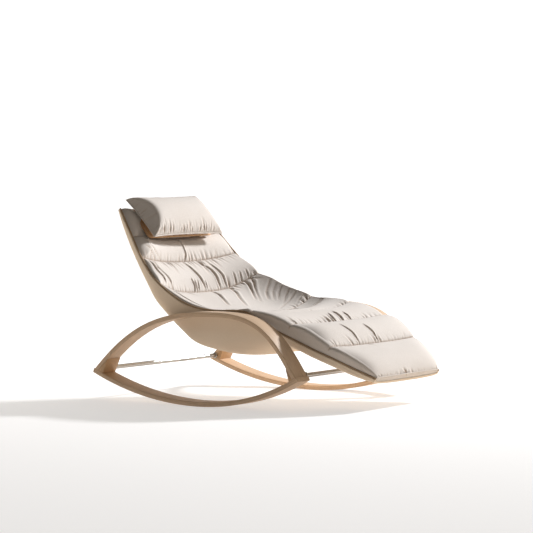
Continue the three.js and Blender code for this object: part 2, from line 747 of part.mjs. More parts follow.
// The backing lies on the highest point of the mattress that it slides over.
function backingSeat() {
  const reach = backingDown + backingLength / 2 + pillowDrop;
  const under = seatStations
    .flatMap(padUpper)
    .filter((point) => Math.abs(point.y) <= backingWidth / 2 + backingCorner && downRim(point) <= reach + backingCorner);
  return Math.max(...under.map(offRim)) + jointGap;
}
const backingBack = backingSeat();

function buildBacking() {
  const [halfLength, halfWidth] = [backingLength / 2, backingWidth / 2];
  const shape = new THREE.Shape();
  const corners = [[1, 1], [-1, 1], [-1, -1], [1, -1]];
  corners.forEach(([along, wide], i) => {
    const x = along * (halfLength - backingCorner);
    const y = wide * (halfWidth - backingCorner);
    shape.absarc(x, y, backingCorner, (i * Math.PI) / 2, ((i + 1) * Math.PI) / 2);
  });
  const options = { depth: backingThickness, bevelEnabled: false, curveSegments: 5 };
  const backing = addPiece("pillow_backing", new THREE.ExtrudeGeometry(shape, options), tanLeather);
  backing.position.copy(onBack(backingDown, backingBack));
  backing.rotation.y = backAngle;
}

function buildPillow() {
  const [rows, columns] = [12, 18];
  const holder = new THREE.Group();
  holder.position.copy(onBack(pillowDown, pillowOff));
  holder.rotation.y = radians(pillowAngle);
  chaise.add(holder);
  holder.updateMatrixWorld(true);
  const rest = backingBack + backingThickness + jointGap;
  const tilt = Math.cos(backAngle - radians(pillowAngle));
  const upper = [];
  const lower = [];
  for (let i = 0; i <= rows; i++) {
    const a = -Math.cos((Math.PI * i) / rows);
    upper.push([]);
    lower.push([]);
    for (let j = 0; j <= columns; j++) {
      const b = -Math.cos((Math.PI * j) / columns);
      const x = (a * (pillowLength - 2 * pillowDrawIn * (1 - b ** 2))) / 2;
      const y = (b * (pillowWidth - 2 * pillowDrawIn * (1 - a ** 2))) / 2;
      const crown = ((1 - a ** 2) * (1 - Math.abs(b) ** 2.6)) ** 0.55;
      upper[i].push(new THREE.Vector3(x, y, pillowSeam + pillowFront * crown));
      const low = new THREE.Vector3(x, y, -pillowSeam - pillowBack * crown);
      const short = rest - offRim(holder.localToWorld(low.clone()));
      if (short > 0) low.z += short / tilt;
      lower[i].push(low);
    }
  }
  addPiece("head_pillow", sheetBody(upper, lower), cream, holder);
}

for (const [side, sideName] of [[1, "left"], [-1, "right"]]) {
  buildFrame(side, sideName);
  buildPiping(side, sideName);
  buildBolts(side, sideName);
}
buildRods();
buildShell();
buildCushion("seat_cushion", seatStations);
buildCushion("leg_cushion", legStations);
buildFoam();
buildBacking();
buildPillow();

// The chaise rocks forward until the flat at balanceX lies on the floor, and stands with the middle of
// its length over the origin.
const flatStart = offRocker(balanceX - balanceFlat / 2, 0);
const flatEnd = offRocker(balanceX + balanceFlat / 2, 0);
chaise.rotation.y = Math.atan2(flatEnd.y - flatStart.y, flatEnd.x - flatStart.x);
const part = new THREE.Group();
part.add(chaise);
const bounds = new THREE.Box3().setFromObject(chaise, true);
chaise.position.set(-(bounds.min.x + bounds.max.x) / 2, 0, -bounds.min.z);

export default part;
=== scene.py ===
# %% [markdown]
# # Rocking chaise lounge
# A moulded seat shell with a quilted mattress hangs between two bent-wood arches. Each arch stands on
# a curved rocker, two chromed rods tie the frames together, and a loose pillow slides on the back.
# Lengths are in the millimetres that the object is drawn in, and become metres where a mesh is made.

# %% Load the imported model
import math

import bpy
import numpy as np
from mathutils import Matrix, Vector


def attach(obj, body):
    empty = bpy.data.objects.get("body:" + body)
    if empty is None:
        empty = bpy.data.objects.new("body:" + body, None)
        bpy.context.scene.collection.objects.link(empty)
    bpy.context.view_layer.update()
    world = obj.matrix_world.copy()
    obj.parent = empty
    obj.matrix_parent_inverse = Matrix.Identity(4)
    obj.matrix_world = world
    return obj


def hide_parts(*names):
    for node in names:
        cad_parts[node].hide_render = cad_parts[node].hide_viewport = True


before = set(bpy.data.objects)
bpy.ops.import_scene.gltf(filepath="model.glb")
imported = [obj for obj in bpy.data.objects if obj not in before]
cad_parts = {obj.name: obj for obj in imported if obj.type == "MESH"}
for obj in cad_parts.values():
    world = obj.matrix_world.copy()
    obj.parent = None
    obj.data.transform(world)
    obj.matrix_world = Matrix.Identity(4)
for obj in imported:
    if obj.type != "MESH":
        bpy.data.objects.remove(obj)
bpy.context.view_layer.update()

# %% [markdown]
# ## Where the chaise stands
# The rockers' curve is lowest at X = 0 of the drawing. The empty chaise leans 3 degrees further
# forward, because its mass lies a little towards the foot, so every drawn point is turned and moved.

# %% From the drawing to the floor
TILT = 0.0547585  # radians
SHIFT = np.array([-174.134, 0.0, 2.560])
MM = 0.001


def turned_forward(vectors):
    v = np.asarray(vectors, float)
    c, s = math.cos(TILT), math.sin(TILT)
    return np.stack([v[..., 0] * c + v[..., 2] * s, v[..., 1], v[..., 2] * c - v[..., 0] * s], -1)


def placed(points):
    return (turned_forward(points) + SHIFT) * MM


def smooth_step(x):
    x = np.clip(x, 0, 1)
    return x * x * (3 - 2 * x)


def mix(a, b, t):
    return a + (b - a) * t


print("the drawing's origin stands at", placed([0, 0, 0]).round(4), "m")

# %% [markdown]
# ### From points to pieces
# A mesh is a list of points and a list of faces that name their corners. Nearly every piece here is a
# grid of points, one row for each section of the real thing, with its ends shut by a face.

# %% Mesh tools


def in_scene(name, data):
    """An object in the scene, at the origin and unturned."""
    piece = bpy.data.objects.new(name, data)
    bpy.context.scene.collection.objects.link(piece)
    return piece


def smoothed(mesh, sharp_angle=None):
    """Shades a mesh smoothly, but not across edges that bend by more than an angle in degrees."""
    mesh.polygons.foreach_set("use_smooth", [True] * len(mesh.polygons))
    if sharp_angle is not None:
        mesh.set_sharp_from_angle(angle=math.radians(sharp_angle))
    mesh.update()


def mesh_piece(name, points, faces, sharp_angle=None, attributes=()):
    """A piece from drawn points; attributes are (name, values) with one vector per point."""
    mesh = bpy.data.meshes.new(name)
    mesh.from_pydata(placed(points).tolist(), [], faces)
    for label, values in attributes:
        layer = mesh.attributes.new(label, "FLOAT_VECTOR", "POINT")
        layer.data.foreach_set("vector", np.asarray(values, float).ravel())
    smoothed(mesh, sharp_angle)
    return in_scene(name, mesh)


def grid_faces(rows, columns, closed=False):
    """Quads over a grid of points, row after row; closed joins the last column to the first."""
    last = columns if closed else columns - 1
    i, j = np.meshgrid(np.arange(rows - 1), np.arange(last), indexing="ij")
    k = (j + 1) % columns
    here, below = i * columns, (i + 1) * columns
    return np.stack([here + j, here + k, below + k, below + j], -1).reshape(-1, 4).tolist()


def end_faces(rows, columns):
    """One face over the first row of a closed grid and one over its last."""
    return [list(range(columns))[::-1], list(range((rows - 1) * columns, rows * columns))]


def outward(piece):
    """Turns the faces outward if the closed mesh is inside out."""
    mesh = piece.data
    mesh.calc_loop_triangles()
    co = np.empty(len(mesh.vertices) * 3)
    mesh.vertices.foreach_get("co", co)
    co = co.reshape(-1, 3)
    tri = np.empty(len(mesh.loop_triangles) * 3, int)
    mesh.loop_triangles.foreach_get("vertices", tri)
    a, b, c = (co[tri.reshape(-1, 3)[:, k]] for k in range(3))
    if np.einsum("ij,ij->i", a, np.cross(b, c)).sum() < 0:
        mesh.flip_normals()
    return piece


def painted(piece, material):
    piece.data.materials.append(material)
    return piece


def extent(places):
    """The lowest and the highest corner round some places, in millimetres."""
    places = np.asarray(places) / MM
    return places.min(axis=0).round(1).tolist(), places.max(axis=0).round(1).tolist()


print("a grid of 3 by 4 points has", len(grid_faces(3, 4)), "faces")

# %% [markdown]
# ## The rockers and the arches as curves
# Each band is bent from a stack of veneers, so its thickness stays the same all along. The rocker's
# lower face is an arc of 1.86 m that sweeps up a little more at the foot. The arch's outer face is a
# pair of cubic curves that meet at its crown. Formulas, rather than curves drawn by hand, also tell
# where the arch comes down on the rocker.

# %% The rocker's curve
FRAME_WIDTH, BAND_WIDTH, BAND_THICKNESS = 820.0, 77.0, 20.0
ROCK_RADIUS, ROCKER_HEAD, ROCKER_FOOT, FOOT_UPSWEEP = 1860.0, 580.0, 673.0, 34.0
JOINT_GAP = 0.3
INNER_FACE = FRAME_WIDTH / 2 - BAND_WIDTH
SETTLING_ROUNDS = 6
SIDES = {"left": 1, "right": -1}


def rocker_lower(x):
    """The rocker's lower face at x, and the unit direction along it, both in the XZ plane."""
    x = np.asarray(x, float)
    root = np.sqrt(ROCK_RADIUS**2 - x**2)
    foot = np.clip(x, 0, None)
    z = ROCK_RADIUS - root + FOOT_UPSWEEP * (foot / ROCKER_FOOT) ** 3
    slope = x / root + 3 * FOOT_UPSWEEP * foot**2 / ROCKER_FOOT**3
    along = np.stack([np.ones_like(x), slope], -1)
    return np.stack([x, z], -1), along / np.linalg.norm(along, axis=-1, keepdims=True)


def off_rocker(x, distance):
    point, along = rocker_lower(x)
    return point + distance * np.stack([-along[..., 1], along[..., 0]], -1)


def rocker_top(x):
    """How high the rocker's upper face lies at x."""
    foot = np.asarray(x, float)
    for _ in range(SETTLING_ROUNDS):
        foot = foot + x - off_rocker(foot, BAND_THICKNESS)[..., 0]
    return off_rocker(foot, BAND_THICKNESS)[..., 1]


def beam_span(side, inset=0.0):
    """The lower and the higher Y of the frame on one side."""
    low, high = sorted((SIDES[side] * INNER_FACE, SIDES[side] * FRAME_WIDTH / 2))
    return low + inset, high - inset


tip_heights = rocker_top(np.array([-ROCKER_HEAD, ROCKER_FOOT]))
print("the rocker's tips rise to", tip_heights.round(1), "mm")

# %% The arch's curves
ARCH_HEIGHT, ARCH_CROWN_SHARE = 412.0, 0.657
ARCH_SETBACK = {"head": 11.0, "foot": 14.0}
ARCH_ANGLE = {"head": 43.0, "foot": 53.0}
ARCH_PULL = {"head": 0.394, "crown_head": 0.458, "crown_foot": 0.5, "foot": 0.493}
HALVINGS = 40


def heading(degrees):
    return np.array([math.cos(math.radians(degrees)), math.sin(math.radians(degrees))])


arch_head = np.array([-ROCKER_HEAD + ARCH_SETBACK["head"], 0.0])
arch_foot = np.array([ROCKER_FOOT - ARCH_SETBACK["foot"], 0.0])
for heel in (arch_head, arch_foot):
    heel[1] = rocker_top(heel[0]) + JOINT_GAP
arch_crown = np.array([-ROCKER_HEAD + ARCH_CROWN_SHARE * (ROCKER_HEAD + ROCKER_FOOT), ARCH_HEIGHT])
head_run, foot_run = arch_crown[0] - arch_head[0], arch_foot[0] - arch_crown[0]
ARCH_CURVES = [
    (
        arch_head,
        arch_head + heading(ARCH_ANGLE["head"]) * ARCH_PULL["head"] * head_run,
        arch_crown - [ARCH_PULL["crown_head"] * head_run, 0],
        arch_crown,
    ),
    (
        arch_crown,
        arch_crown + [ARCH_PULL["crown_foot"] * foot_run, 0],
        arch_foot + heading(180 - ARCH_ANGLE["foot"]) * ARCH_PULL["foot"] * foot_run,
        arch_foot,
    ),
]


def arch_point(place, depth):
    """A point of the arch, depth below its outer face; place is 0 at the head and 2 at the foot."""
    half = 0 if place < 1 else 1
    a, b, c, d = ARCH_CURVES[half]
    t = min(max(place - half, 0.0), 1.0)
    point = (1 - t) ** 3 * a + 3 * (1 - t) ** 2 * t * b + 3 * (1 - t) * t**2 * c + t**3 * d
    along = (1 - t) ** 2 * (b - a) + 2 * (1 - t) * t * (c - b) + t**2 * (d - c)
    along = along / np.linalg.norm(along)
    return point + depth * np.array([along[1], -along[0]])


def arch_landing(end, depth):
    """Where a line depth below the arch's outer face comes down on the rocker."""
    low, high = (0.0, 1.0) if end == "head" else (2.0, 1.0)
    for _ in range(HALVINGS):
        middle = (low + high) / 2
        point = arch_point(middle, depth)
        if point[1] < rocker_top(point[0]) + JOINT_GAP:
            low = middle
        else:
            high = middle
    return high


print("arch lands at", arch_landing("head", BAND_THICKNESS), arch_landing("foot", BAND_THICKNESS))

# %% [markdown]
# ## Finishes
# Patterns that several materials share are node groups. They take their place from the object's own
# coordinates or, on the bent bands, from an attribute that says how far along, across and deep each
# point of the wood lies, so the veneers bend with the band.

# %% Node tools
COLOUR, NUMBER, WHOLE, MATERIAL = ("NodeSocket" + kind for kind in ("Color", "Float", "Int", "Material"))


def feed(tree, socket, value):
    """Links a socket, or gives it a value of its own."""
    if isinstance(value, bpy.types.NodeSocket):
        tree.links.new(value, socket)
    else:
        socket.default_value = value


def add_node(tree, kind, settings=(), **sockets):
    """A node with its settings; a socket's value is a number or colour, or a socket to link from."""
    node = tree.nodes.new(kind)
    for key, value in dict(settings).items():
        setattr(node, key, value)
    for key, value in sockets.items():
        by_number = key[0] == "i" and key[1:].isdigit()
        feed(tree, node.inputs[int(key[1:])] if by_number else node.inputs[key], value)
    return node


def maths(tree, operation, a, b=0.0):
    return add_node(tree, "ShaderNodeMath", {"operation": operation}, i0=a, i1=b).outputs[0]


def times(tree, a, b):
    return maths(tree, "MULTIPLY", a, b)


def plus(tree, a, b):
    return maths(tree, "ADD", a, b)


def minus(tree, a, b):
    return maths(tree, "SUBTRACT", a, b)


def vector_of(tree, x, y, z):
    return add_node(tree, "ShaderNodeCombineXYZ", X=x, Y=y, Z=z).outputs[0]


def own_place(tree):
    return add_node(tree, "ShaderNodeTexCoord").outputs["Object"]


def noise(tree, place, scale, detail, roughness, distortion=0.0):
    sizes = {"Scale": scale, "Detail": detail, "Roughness": roughness, "Distortion": distortion}
    return add_node(tree, "ShaderNodeTexNoise", Vector=place, **sizes).outputs["Fac"]


def from_range(tree, value, low, high, start=0.0, end=1.0, kind="LINEAR"):
    """What lies between low and high comes out between start and end."""
    settings = {"clamp": True, "interpolation_type": kind}
    ends = {"i1": low, "i2": high, "i3": start, "i4": end}
    return add_node(tree, "ShaderNodeMapRange", settings, i0=value, **ends).outputs[0]


def blend_colours(tree, factor, a, b):
    settings = {"data_type": "RGBA", "blend_type": "MIX"}
    return add_node(tree, "ShaderNodeMix", settings, i0=factor, i6=a, i7=b).outputs[2]


def colour(r, g, b):
    return (r, g, b, 1.0)


def along_direction(tree, place, direction):
    """How far a place lies in a direction."""
    settings = {"operation": "DOT_PRODUCT"}
    return add_node(tree, "ShaderNodeVectorMath", settings, i0=place, i1=tuple(direction)).outputs["Value"]


print("node tools ready")

# %% [markdown]
# ### Groups and the materials that use them
# A group puts out a roughness, a height and mostly a colour for each point. The shader stays in the
# material, where the height becomes a bump, so one group serves several materials.

# %% Groups and materials


def new_group(name, inputs, outputs):
    """An empty group, the sockets that it is given and a function that links what it puts out."""
    tree = bpy.data.node_groups.new(name, "ShaderNodeTree")
    for label, kind, value in inputs:
        tree.interface.new_socket(label, in_out="INPUT", socket_type=kind).default_value = value
    for label, kind in outputs.items():
        tree.interface.new_socket(label, in_out="OUTPUT", socket_type=kind)
    given, result = tree.nodes.new("NodeGroupInput"), tree.nodes.new("NodeGroupOutput")

    def put_out(**values):
        for label, value in values.items():
            tree.links.new(value, result.inputs[label])
        return tree

    return tree, given.outputs, put_out


def material_with(name, group, bump=None, base=None, group_values=(), **shader_values):
    """A material fed by a group; bump is how strong its relief is, and how high in millimetres."""
    material = bpy.data.materials.new(name)
    material.use_nodes = True
    tree = material.node_tree
    shader = tree.nodes["Principled BSDF"]
    shader.inputs["Base Color"].default_value = base or colour(0.8, 0.8, 0.8)
    for key, value in shader_values.items():
        shader.inputs[key.replace("_", " ")].default_value = value
    if group is None:
        return material
    node = add_node(tree, "ShaderNodeGroup", {"node_tree": group}, **dict(group_values))
    tree.links.new(node.outputs["Roughness"], shader.inputs["Roughness"])
    if "Colour" in node.outputs.keys():
        tree.links.new(node.outputs["Colour"], shader.inputs["Base Color"])
    strength, height = bump
    sizes = {"Strength": strength, "Distance": height * MM}
    relief = add_node(tree, "ShaderNodeBump", Height=node.outputs["Height"], **sizes)
    tree.links.new(relief.outputs["Normal"], shader.inputs["Normal"])
    return material


RELIEF = {"Roughness": NUMBER, "Height": NUMBER}
FULL_PATTERN = {"Colour": COLOUR, **RELIEF}
print("a pattern puts out", list(FULL_PATTERN))

# %% [markdown]
# ### Laminated wood
# Pale maple or beech veneers, about 2.5 mm thick. On the broad faces only the grain shows; on the
# edges the stack shows as fine glue lines with a slightly different tone in each layer.

# %% Laminate group
VENEER = 2.5
# How fast the pattern changes per millimetre along, across and deep; streaks jump from layer to layer.
STREAKS, PORES = (0.012, 0.35, 3.7), (0.05, 2.2, 2.2)
STREAK_SHARE, PORE_SHARE = 0.75, 0.25
TONE_SHARE, GLUE_SHARE, GLUE_HALF_WIDTH_SHARE = 0.3, 0.55, 0.06
WOOD_ROUGHNESS, PORE_ROUGHNESS = 0.34, 0.18


def stretched(tree, parts, factors):
    return vector_of(tree, *(times(tree, part, factor) for part, factor in zip(parts, factors)))


def laminate_group():
    """Wood whose veneers follow the attribute grain, which holds millimetres."""
    tree, given, put_out = new_group(
        "laminate",
        [
            ("Light", COLOUR, colour(0.76, 0.575, 0.405)),
            ("Dark", COLOUR, colour(0.53, 0.37, 0.24)),
            ("Glue", COLOUR, colour(0.38, 0.25, 0.16)),
            ("Layer", NUMBER, VENEER),
        ],
        FULL_PATTERN,
    )
    grain = add_node(tree, "ShaderNodeAttribute", {"attribute_name": "grain"}).outputs["Vector"]
    along, across, deep = add_node(tree, "ShaderNodeSeparateXYZ", i0=grain).outputs
    layer_place = maths(tree, "DIVIDE", deep, given["Layer"])
    layer_number = maths(tree, "FLOOR", layer_place)
    off_middle = maths(tree, "ABSOLUTE", minus(tree, maths(tree, "FRACT", layer_place), 0.5))
    streak_place = stretched(tree, (along, across, layer_number), STREAKS)
    streaks = noise(tree, streak_place, 1.0, 5.0, 0.6, distortion=0.3)
    pores = noise(tree, stretched(tree, (along, across, deep), PORES), 1.0, 3.0, 0.7)
    chance = add_node(tree, "ShaderNodeTexWhiteNoise", {"noise_dimensions": "1D"}, W=layer_number)
    tone = chance.outputs["Value"]
    mixed = plus(tree, times(tree, streaks, STREAK_SHARE), times(tree, pores, PORE_SHARE))
    wood = blend_colours(tree, from_range(tree, mixed, 0.36, 0.66), given["Light"], given["Dark"])
    toned = blend_colours(tree, times(tree, tone, TONE_SHARE), wood, given["Dark"])
    glue_line = maths(tree, "LESS_THAN", off_middle, GLUE_HALF_WIDTH_SHARE)
    return put_out(
        Colour=blend_colours(tree, times(tree, glue_line, GLUE_SHARE), toned, given["Glue"]),
        Roughness=plus(tree, times(tree, pores, PORE_ROUGHNESS), WOOD_ROUGHNESS),
        Height=minus(tree, times(tree, pores, 0.5), times(tree, glue_line, 0.5)),
    )


laminate = laminate_group()
maple = material_with("maple_laminate", laminate, (0.25, 0.3), Coat_Weight=0.12, Coat_Roughness=0.35)
block_wood = material_with(
    "block_wood",
    laminate,
    (0.25, 0.3),
    group_values={"Light": colour(0.62, 0.42, 0.25), "Dark": colour(0.45, 0.28, 0.15), "Layer": 400.0},
    Coat_Weight=0.1,
)
print("wood", maple.name, block_wood.name)

# %% [markdown]
# ### Cloth, leather and felt
# The cushions wear a soft cream weave with a faint slub. The shell wears a denser, smoother cloth in
# beige, and the piping along its rim a brown one. In the creases the cloth turns browner, because
# little light gets in. The strip under the pillow is leather.

# %% Weave group
SLUB_SCALE, CLOUD_SCALE = 240.0, 7.0
CLOTH_ROUGHNESS, SLUB_ROUGHNESS = 0.78, 0.15
# How far the painted shade in creases turns the cloth towards its brown.
CREASE_SHADE_SHARE = 0.8


def weave_group():
    """Cloth with threads both ways; deep in a crease its colour is painted browner as shade."""
    tree, given, put_out = new_group(
        "weave",
        [
            ("Cloth", COLOUR, colour(0.72, 0.68, 0.645)),
            ("Shade", COLOUR, colour(0.65, 0.605, 0.56)),
            ("Threads", NUMBER, 1100.0),
            # The brown that is painted into creases as shade.
            ("Painted shade", COLOUR, colour(0.45, 0.33, 0.24)),
        ],
        FULL_PATTERN,
    )
    spot = own_place(tree)
    waves = []
    sizes = {"Scale": given["Threads"], "Distortion": 0.6, "Detail": 1.0}
    for run in ("Y", "DIAGONAL"):
        settings = {"wave_type": "BANDS", "bands_direction": run}
        waves.append(add_node(tree, "ShaderNodeTexWave", settings, Vector=spot, **sizes).outputs["Fac"])
    slub = noise(tree, spot, SLUB_SCALE, 3.0, 0.6)
    cloud = noise(tree, spot, CLOUD_SCALE, 3.0, 0.5)
    shading = plus(tree, times(tree, slub, 0.6), times(tree, cloud, 0.5))
    shade_share = from_range(tree, shading, 0.42, 0.7, 0.0, 0.7)
    woven = blend_colours(tree, shade_share, given["Cloth"], given["Shade"])
    # How deep in a crease a point lies; there painted shade browns the cloth.
    crease_shade = add_node(tree, "ShaderNodeAttribute", {"attribute_name": "crease_shade"}).outputs["Fac"]
    return put_out(
        Colour=blend_colours(tree, times(tree, crease_shade, CREASE_SHADE_SHARE), woven, given["Painted shade"]),
        Roughness=plus(tree, times(tree, slub, SLUB_ROUGHNESS), CLOTH_ROUGHNESS),
        Height=plus(tree, times(tree, times(tree, *waves), 0.5), times(tree, slub, 0.5)),
    )


weave = weave_group()
print("weave made of", len(weave.nodes), "nodes")

# %% Cloths of the weave


def cloth(name, bump, light, shade, threads):
    """A cloth of the weave with colours of its own; more threads make it finer."""
    values = {"Cloth": colour(*light), "Shade": colour(*shade), "Threads": threads}
    return material_with(name, weave, bump, group_values=values)


cream_cloth = material_with("cream_cloth", weave, (0.25, 0.4), Sheen_Weight=0.25, Sheen_Roughness=0.5)
shell_cloth = cloth("shell_cloth", (0.12, 0.2), (0.87, 0.74, 0.59), (0.8, 0.67, 0.52), 1800.0)
shell_cloth.node_tree.nodes["Principled BSDF"].inputs["Sheen Weight"].default_value = 0.1
piping_cloth = cloth("piping_cloth", (0.3, 0.3), (0.45, 0.33, 0.22), (0.36, 0.25, 0.16), 1400.0)
foam_bed = cloth("foam_bed", (0.4, 1.0), (0.82, 0.77, 0.55), (0.72, 0.66, 0.45), 300.0)
felt = cloth("felt", (0.3, 0.4), (0.05, 0.045, 0.04), (0.03, 0.027, 0.025), 700.0)
thread = material_with("thread", weave, (0.2, 0.1), group_values={"Threads": 4000.0})
print("cloths", [m.name for m in (cream_cloth, shell_cloth, piping_cloth, foam_bed, felt, thread)])

# %% Leather
PATCH_SCALE = 18.0
LEATHER_ROUGHNESS, PATCH_ROUGHNESS = 0.4, 0.2
PEBBLE_STEEPNESS = 8.0


def hide_group():
    """Pebbled leather, paler where it is worn."""
    tree, given, put_out = new_group(
        "hide",
        [
            ("Leather", COLOUR, colour(0.5, 0.28, 0.13)),
            ("Worn", COLOUR, colour(0.62, 0.38, 0.2)),
            ("Pebble", NUMBER, 900.0),
        ],
        FULL_PATTERN,
    )
    spot = own_place(tree)
    settings = {"feature": "DISTANCE_TO_EDGE"}
    pebbles = add_node(tree, "ShaderNodeTexVoronoi", settings, Vector=spot, Scale=given["Pebble"])
    cells = pebbles.outputs["Distance"]
    patches = noise(tree, spot, PATCH_SCALE, 4.0, 0.6)
    return put_out(
        Colour=blend_colours(tree, from_range(tree, patches, 0.35, 0.7), given["Leather"], given["Worn"]),
        Roughness=plus(tree, times(tree, patches, PATCH_ROUGHNESS), LEATHER_ROUGHNESS),
        Height=maths(tree, "MINIMUM", times(tree, cells, PEBBLE_STEEPNESS), 1.0),
    )


tan_leather = material_with("tan_leather", hide_group(), (0.25, 0.3))
print("leather", tan_leather.name)

# %% [markdown]
# ### Metal
# The rods are polished and chromed, with only a trace of wiping marks. The screws are zinc plated.

# %% Metal group and metals
WIPING_SCALE = 60.0


def metal_marks_group():
    """Faint marks that change a metal's roughness."""
    inputs = [("Base", NUMBER, 0.02), ("Spread", NUMBER, 0.04)]
    tree, given, put_out = new_group("metal_marks", inputs, RELIEF)
    marks = noise(tree, own_place(tree), WIPING_SCALE, 4.0, 0.65)
    return put_out(Roughness=plus(tree, times(tree, marks, given["Spread"]), given["Base"]), Height=marks)


metal_marks = metal_marks_group()
chrome = material_with("chrome", metal_marks, (0.02, 0.1), base=colour(0.46, 0.47, 0.48), Metallic=1.0)


def dull_metal(name, tint, spread):
    values = {"Base": 0.25, "Spread": spread}
    return material_with(name, metal_marks, (0.05, 0.1), base=tint, group_values=values, Metallic=1.0)


zinc = dull_metal("zinc", colour(0.62, 0.62, 0.6), 0.2)
brass = dull_metal("brass", colour(0.66, 0.48, 0.2), 0.15)
print("materials", len(bpy.data.materials))

# %% [markdown]
# ## Rockers
# Each rocker is one band, bent over a mould from a stack of veneers and then rounded at its edges. A
# section that follows a curve is just such a rule, so a node tree sweeps it and notes for every point
# how far along, across and deep in the band it lies.

# %% Geometry node tools


def geometry_tree(name, inputs):
    """A tree with its sizes as named inputs, and a function that gives what it makes its material."""
    tree = bpy.data.node_groups.new(name, "GeometryNodeTree")
    tree.interface.new_socket("Geometry", in_out="INPUT", socket_type="NodeSocketGeometry")
    for label, kind, value in inputs:
        tree.interface.new_socket(label, in_out="INPUT", socket_type=kind).default_value = value
    tree.interface.new_socket("Material", in_out="INPUT", socket_type=MATERIAL)
    tree.interface.new_socket("Geometry", in_out="OUTPUT", socket_type="NodeSocketGeometry")
    given, result = tree.nodes.new("NodeGroupInput"), tree.nodes.new("NodeGroupOutput")

    def end_with(geometry):
        real = add_node(tree, "GeometryNodeRealizeInstances", i0=geometry).outputs[0]
        made = add_node(tree, "GeometryNodeSetMaterial", Geometry=real, Material=given.outputs["Material"])
        tree.links.new(made.outputs[0], result.inputs[0])
        return tree

    return tree, given.outputs, end_with


def noted(tree, geometry, kind, value):
    """Notes a value for each point of a geometry; gives the geometry and the note."""
    node = tree.nodes.new("GeometryNodeCaptureAttribute")
    node.capture_items.new(kind, "Note")
    tree.links.new(geometry, node.inputs[0])
    tree.links.new(value, node.inputs[1])
    return node.outputs[0], node.outputs[1]


def swept(tree, curve, section):
    """A section swept along a curve, with both ends closed."""
    node = add_node(tree, "GeometryNodeCurveToMesh", i0=curve, i1=section)
    node.inputs["Fill Caps"].default_value = True
    return node.outputs[0]


def baked(name, paths, tree, material, **sizes):
    """The plain mesh that a tree makes of polylines; all lengths are drawn millimetres."""
    points, edges = [], []
    for path in paths:
        edges += [(len(points) + k, len(points) + k + 1) for k in range(len(path) - 1)]
        points += list(path)
    line = bpy.data.meshes.new(name + "_path")
    line.from_pydata(placed(points).tolist(), edges, [])
    source = in_scene(name + "_path", line)
    modifier = source.modifiers.new("nodes", "NODES")
    modifier.node_group = tree
    for item in tree.interface.items_tree:
        if item.in_out == "INPUT" and item.name == "Material":
            modifier[item.identifier] = material
        elif item.in_out == "INPUT" and item.name in sizes:
            whole = item.socket_type == WHOLE
            modifier[item.identifier] = sizes[item.name] if whole else sizes[item.name] * MM
    evaluated = source.evaluated_get(bpy.context.evaluated_depsgraph_get())
    mesh = bpy.data.meshes.new_from_object(evaluated)
    mesh.name = name
    bpy.data.objects.remove(source)
    return in_scene(name, mesh)


print("geometry node tools ready")

# %% Rocker bands by geometry nodes
EDGE_RADIUS, CORNER_STEPS = 2.2, 4
BAND_STEPS = 160
WOOD_SHARP = 40


def bent_band_tree():
    """Sweeps a rounded section along a path and stores the attribute grain in millimetres."""
    sizes = (("Width", BAND_WIDTH), ("Thickness", BAND_THICKNESS), ("Edge", EDGE_RADIUS))
    inputs = [(label, NUMBER, size * MM) for label, size in sizes]
    tree, given, end_with = geometry_tree("bent_band", inputs)
    curve = add_node(tree, "GeometryNodeMeshToCurve", i0=given["Geometry"]).outputs[0]
    upright = add_node(tree, "GeometryNodeSetCurveNormal", i0=curve).outputs[0]
    run = tree.nodes.new("GeometryNodeSplineParameter").outputs["Length"]
    path, along = noted(tree, upright, "FLOAT", run)
    sizes = {"Width": given["Width"], "Height": given["Thickness"]}
    section = add_node(tree, "GeometryNodeCurvePrimitiveQuadrilateral", **sizes).outputs[0]
    edges = {"Curve": section, "Radius": given["Edge"], "Count": CORNER_STEPS}
    rounded = add_node(tree, "GeometryNodeFilletCurve", {"mode": "POLY"}, **edges).outputs[0]
    spot = tree.nodes.new("GeometryNodeInputPosition").outputs[0]
    outline, place = noted(tree, rounded, "VECTOR", spot)
    band = swept(tree, path, outline)
    across, up, _ = add_node(tree, "ShaderNodeSeparateXYZ", i0=place).outputs
    deep = plus(tree, up, times(tree, given["Thickness"], 0.5))
    grain = vector_of(tree, *(times(tree, part, 1 / MM) for part in (along, across, deep)))
    settings = {"data_type": "FLOAT_VECTOR", "domain": "POINT"}
    stored = add_node(
        tree, "GeometryNodeStoreNamedAttribute", settings, Geometry=band, Name="grain", Value=grain
    )
    return end_with(stored.outputs[0])


band_tree = bent_band_tree()
band_sizes = {"Width": BAND_WIDTH, "Thickness": BAND_THICKNESS, "Edge": EDGE_RADIUS}
rocker_middle = off_rocker(np.linspace(-ROCKER_HEAD, ROCKER_FOOT, BAND_STEPS), BAND_THICKNESS / 2)
for side_name, side in SIDES.items():
    y = np.full(BAND_STEPS, side * (INNER_FACE + BAND_WIDTH / 2))
    path = np.stack([rocker_middle[:, 0], y, rocker_middle[:, 1]], -1)
    rocker = baked(f"rocker_band_{side_name}", [path], band_tree, maple, **band_sizes)
    smoothed(rocker.data, WOOD_SHARP)
    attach(rocker, "chaise")
    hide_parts(f"rocker_{side_name}")
    print(rocker.name, "shown", extent([v.co for v in rocker.data.vertices]))

# %% [markdown]
# ## Arches
# The arches are bent the same way, but each heel is cut to lie on the rocker's upper face. A swept
# section would end square, so here every row of points runs from the outer curve to the inner one,
# and the two end at different places.

# %% Arch bands


def rounded_section(y_low, y_high, thickness, radius):
    """Points (y, depth) round a band's section."""
    near, far = y_low + radius, y_high - radius
    top, bottom = radius, thickness - radius
    loop = []
    for k, (cy, cd) in enumerate(((far, bottom), (near, bottom), (near, top), (far, top))):
        for s in range(CORNER_STEPS + 1):
            angle = math.pi / 2 * (k + s / CORNER_STEPS)
            loop.append((cy + radius * math.cos(angle), cd + radius * math.sin(angle)))
    return np.array(loop)


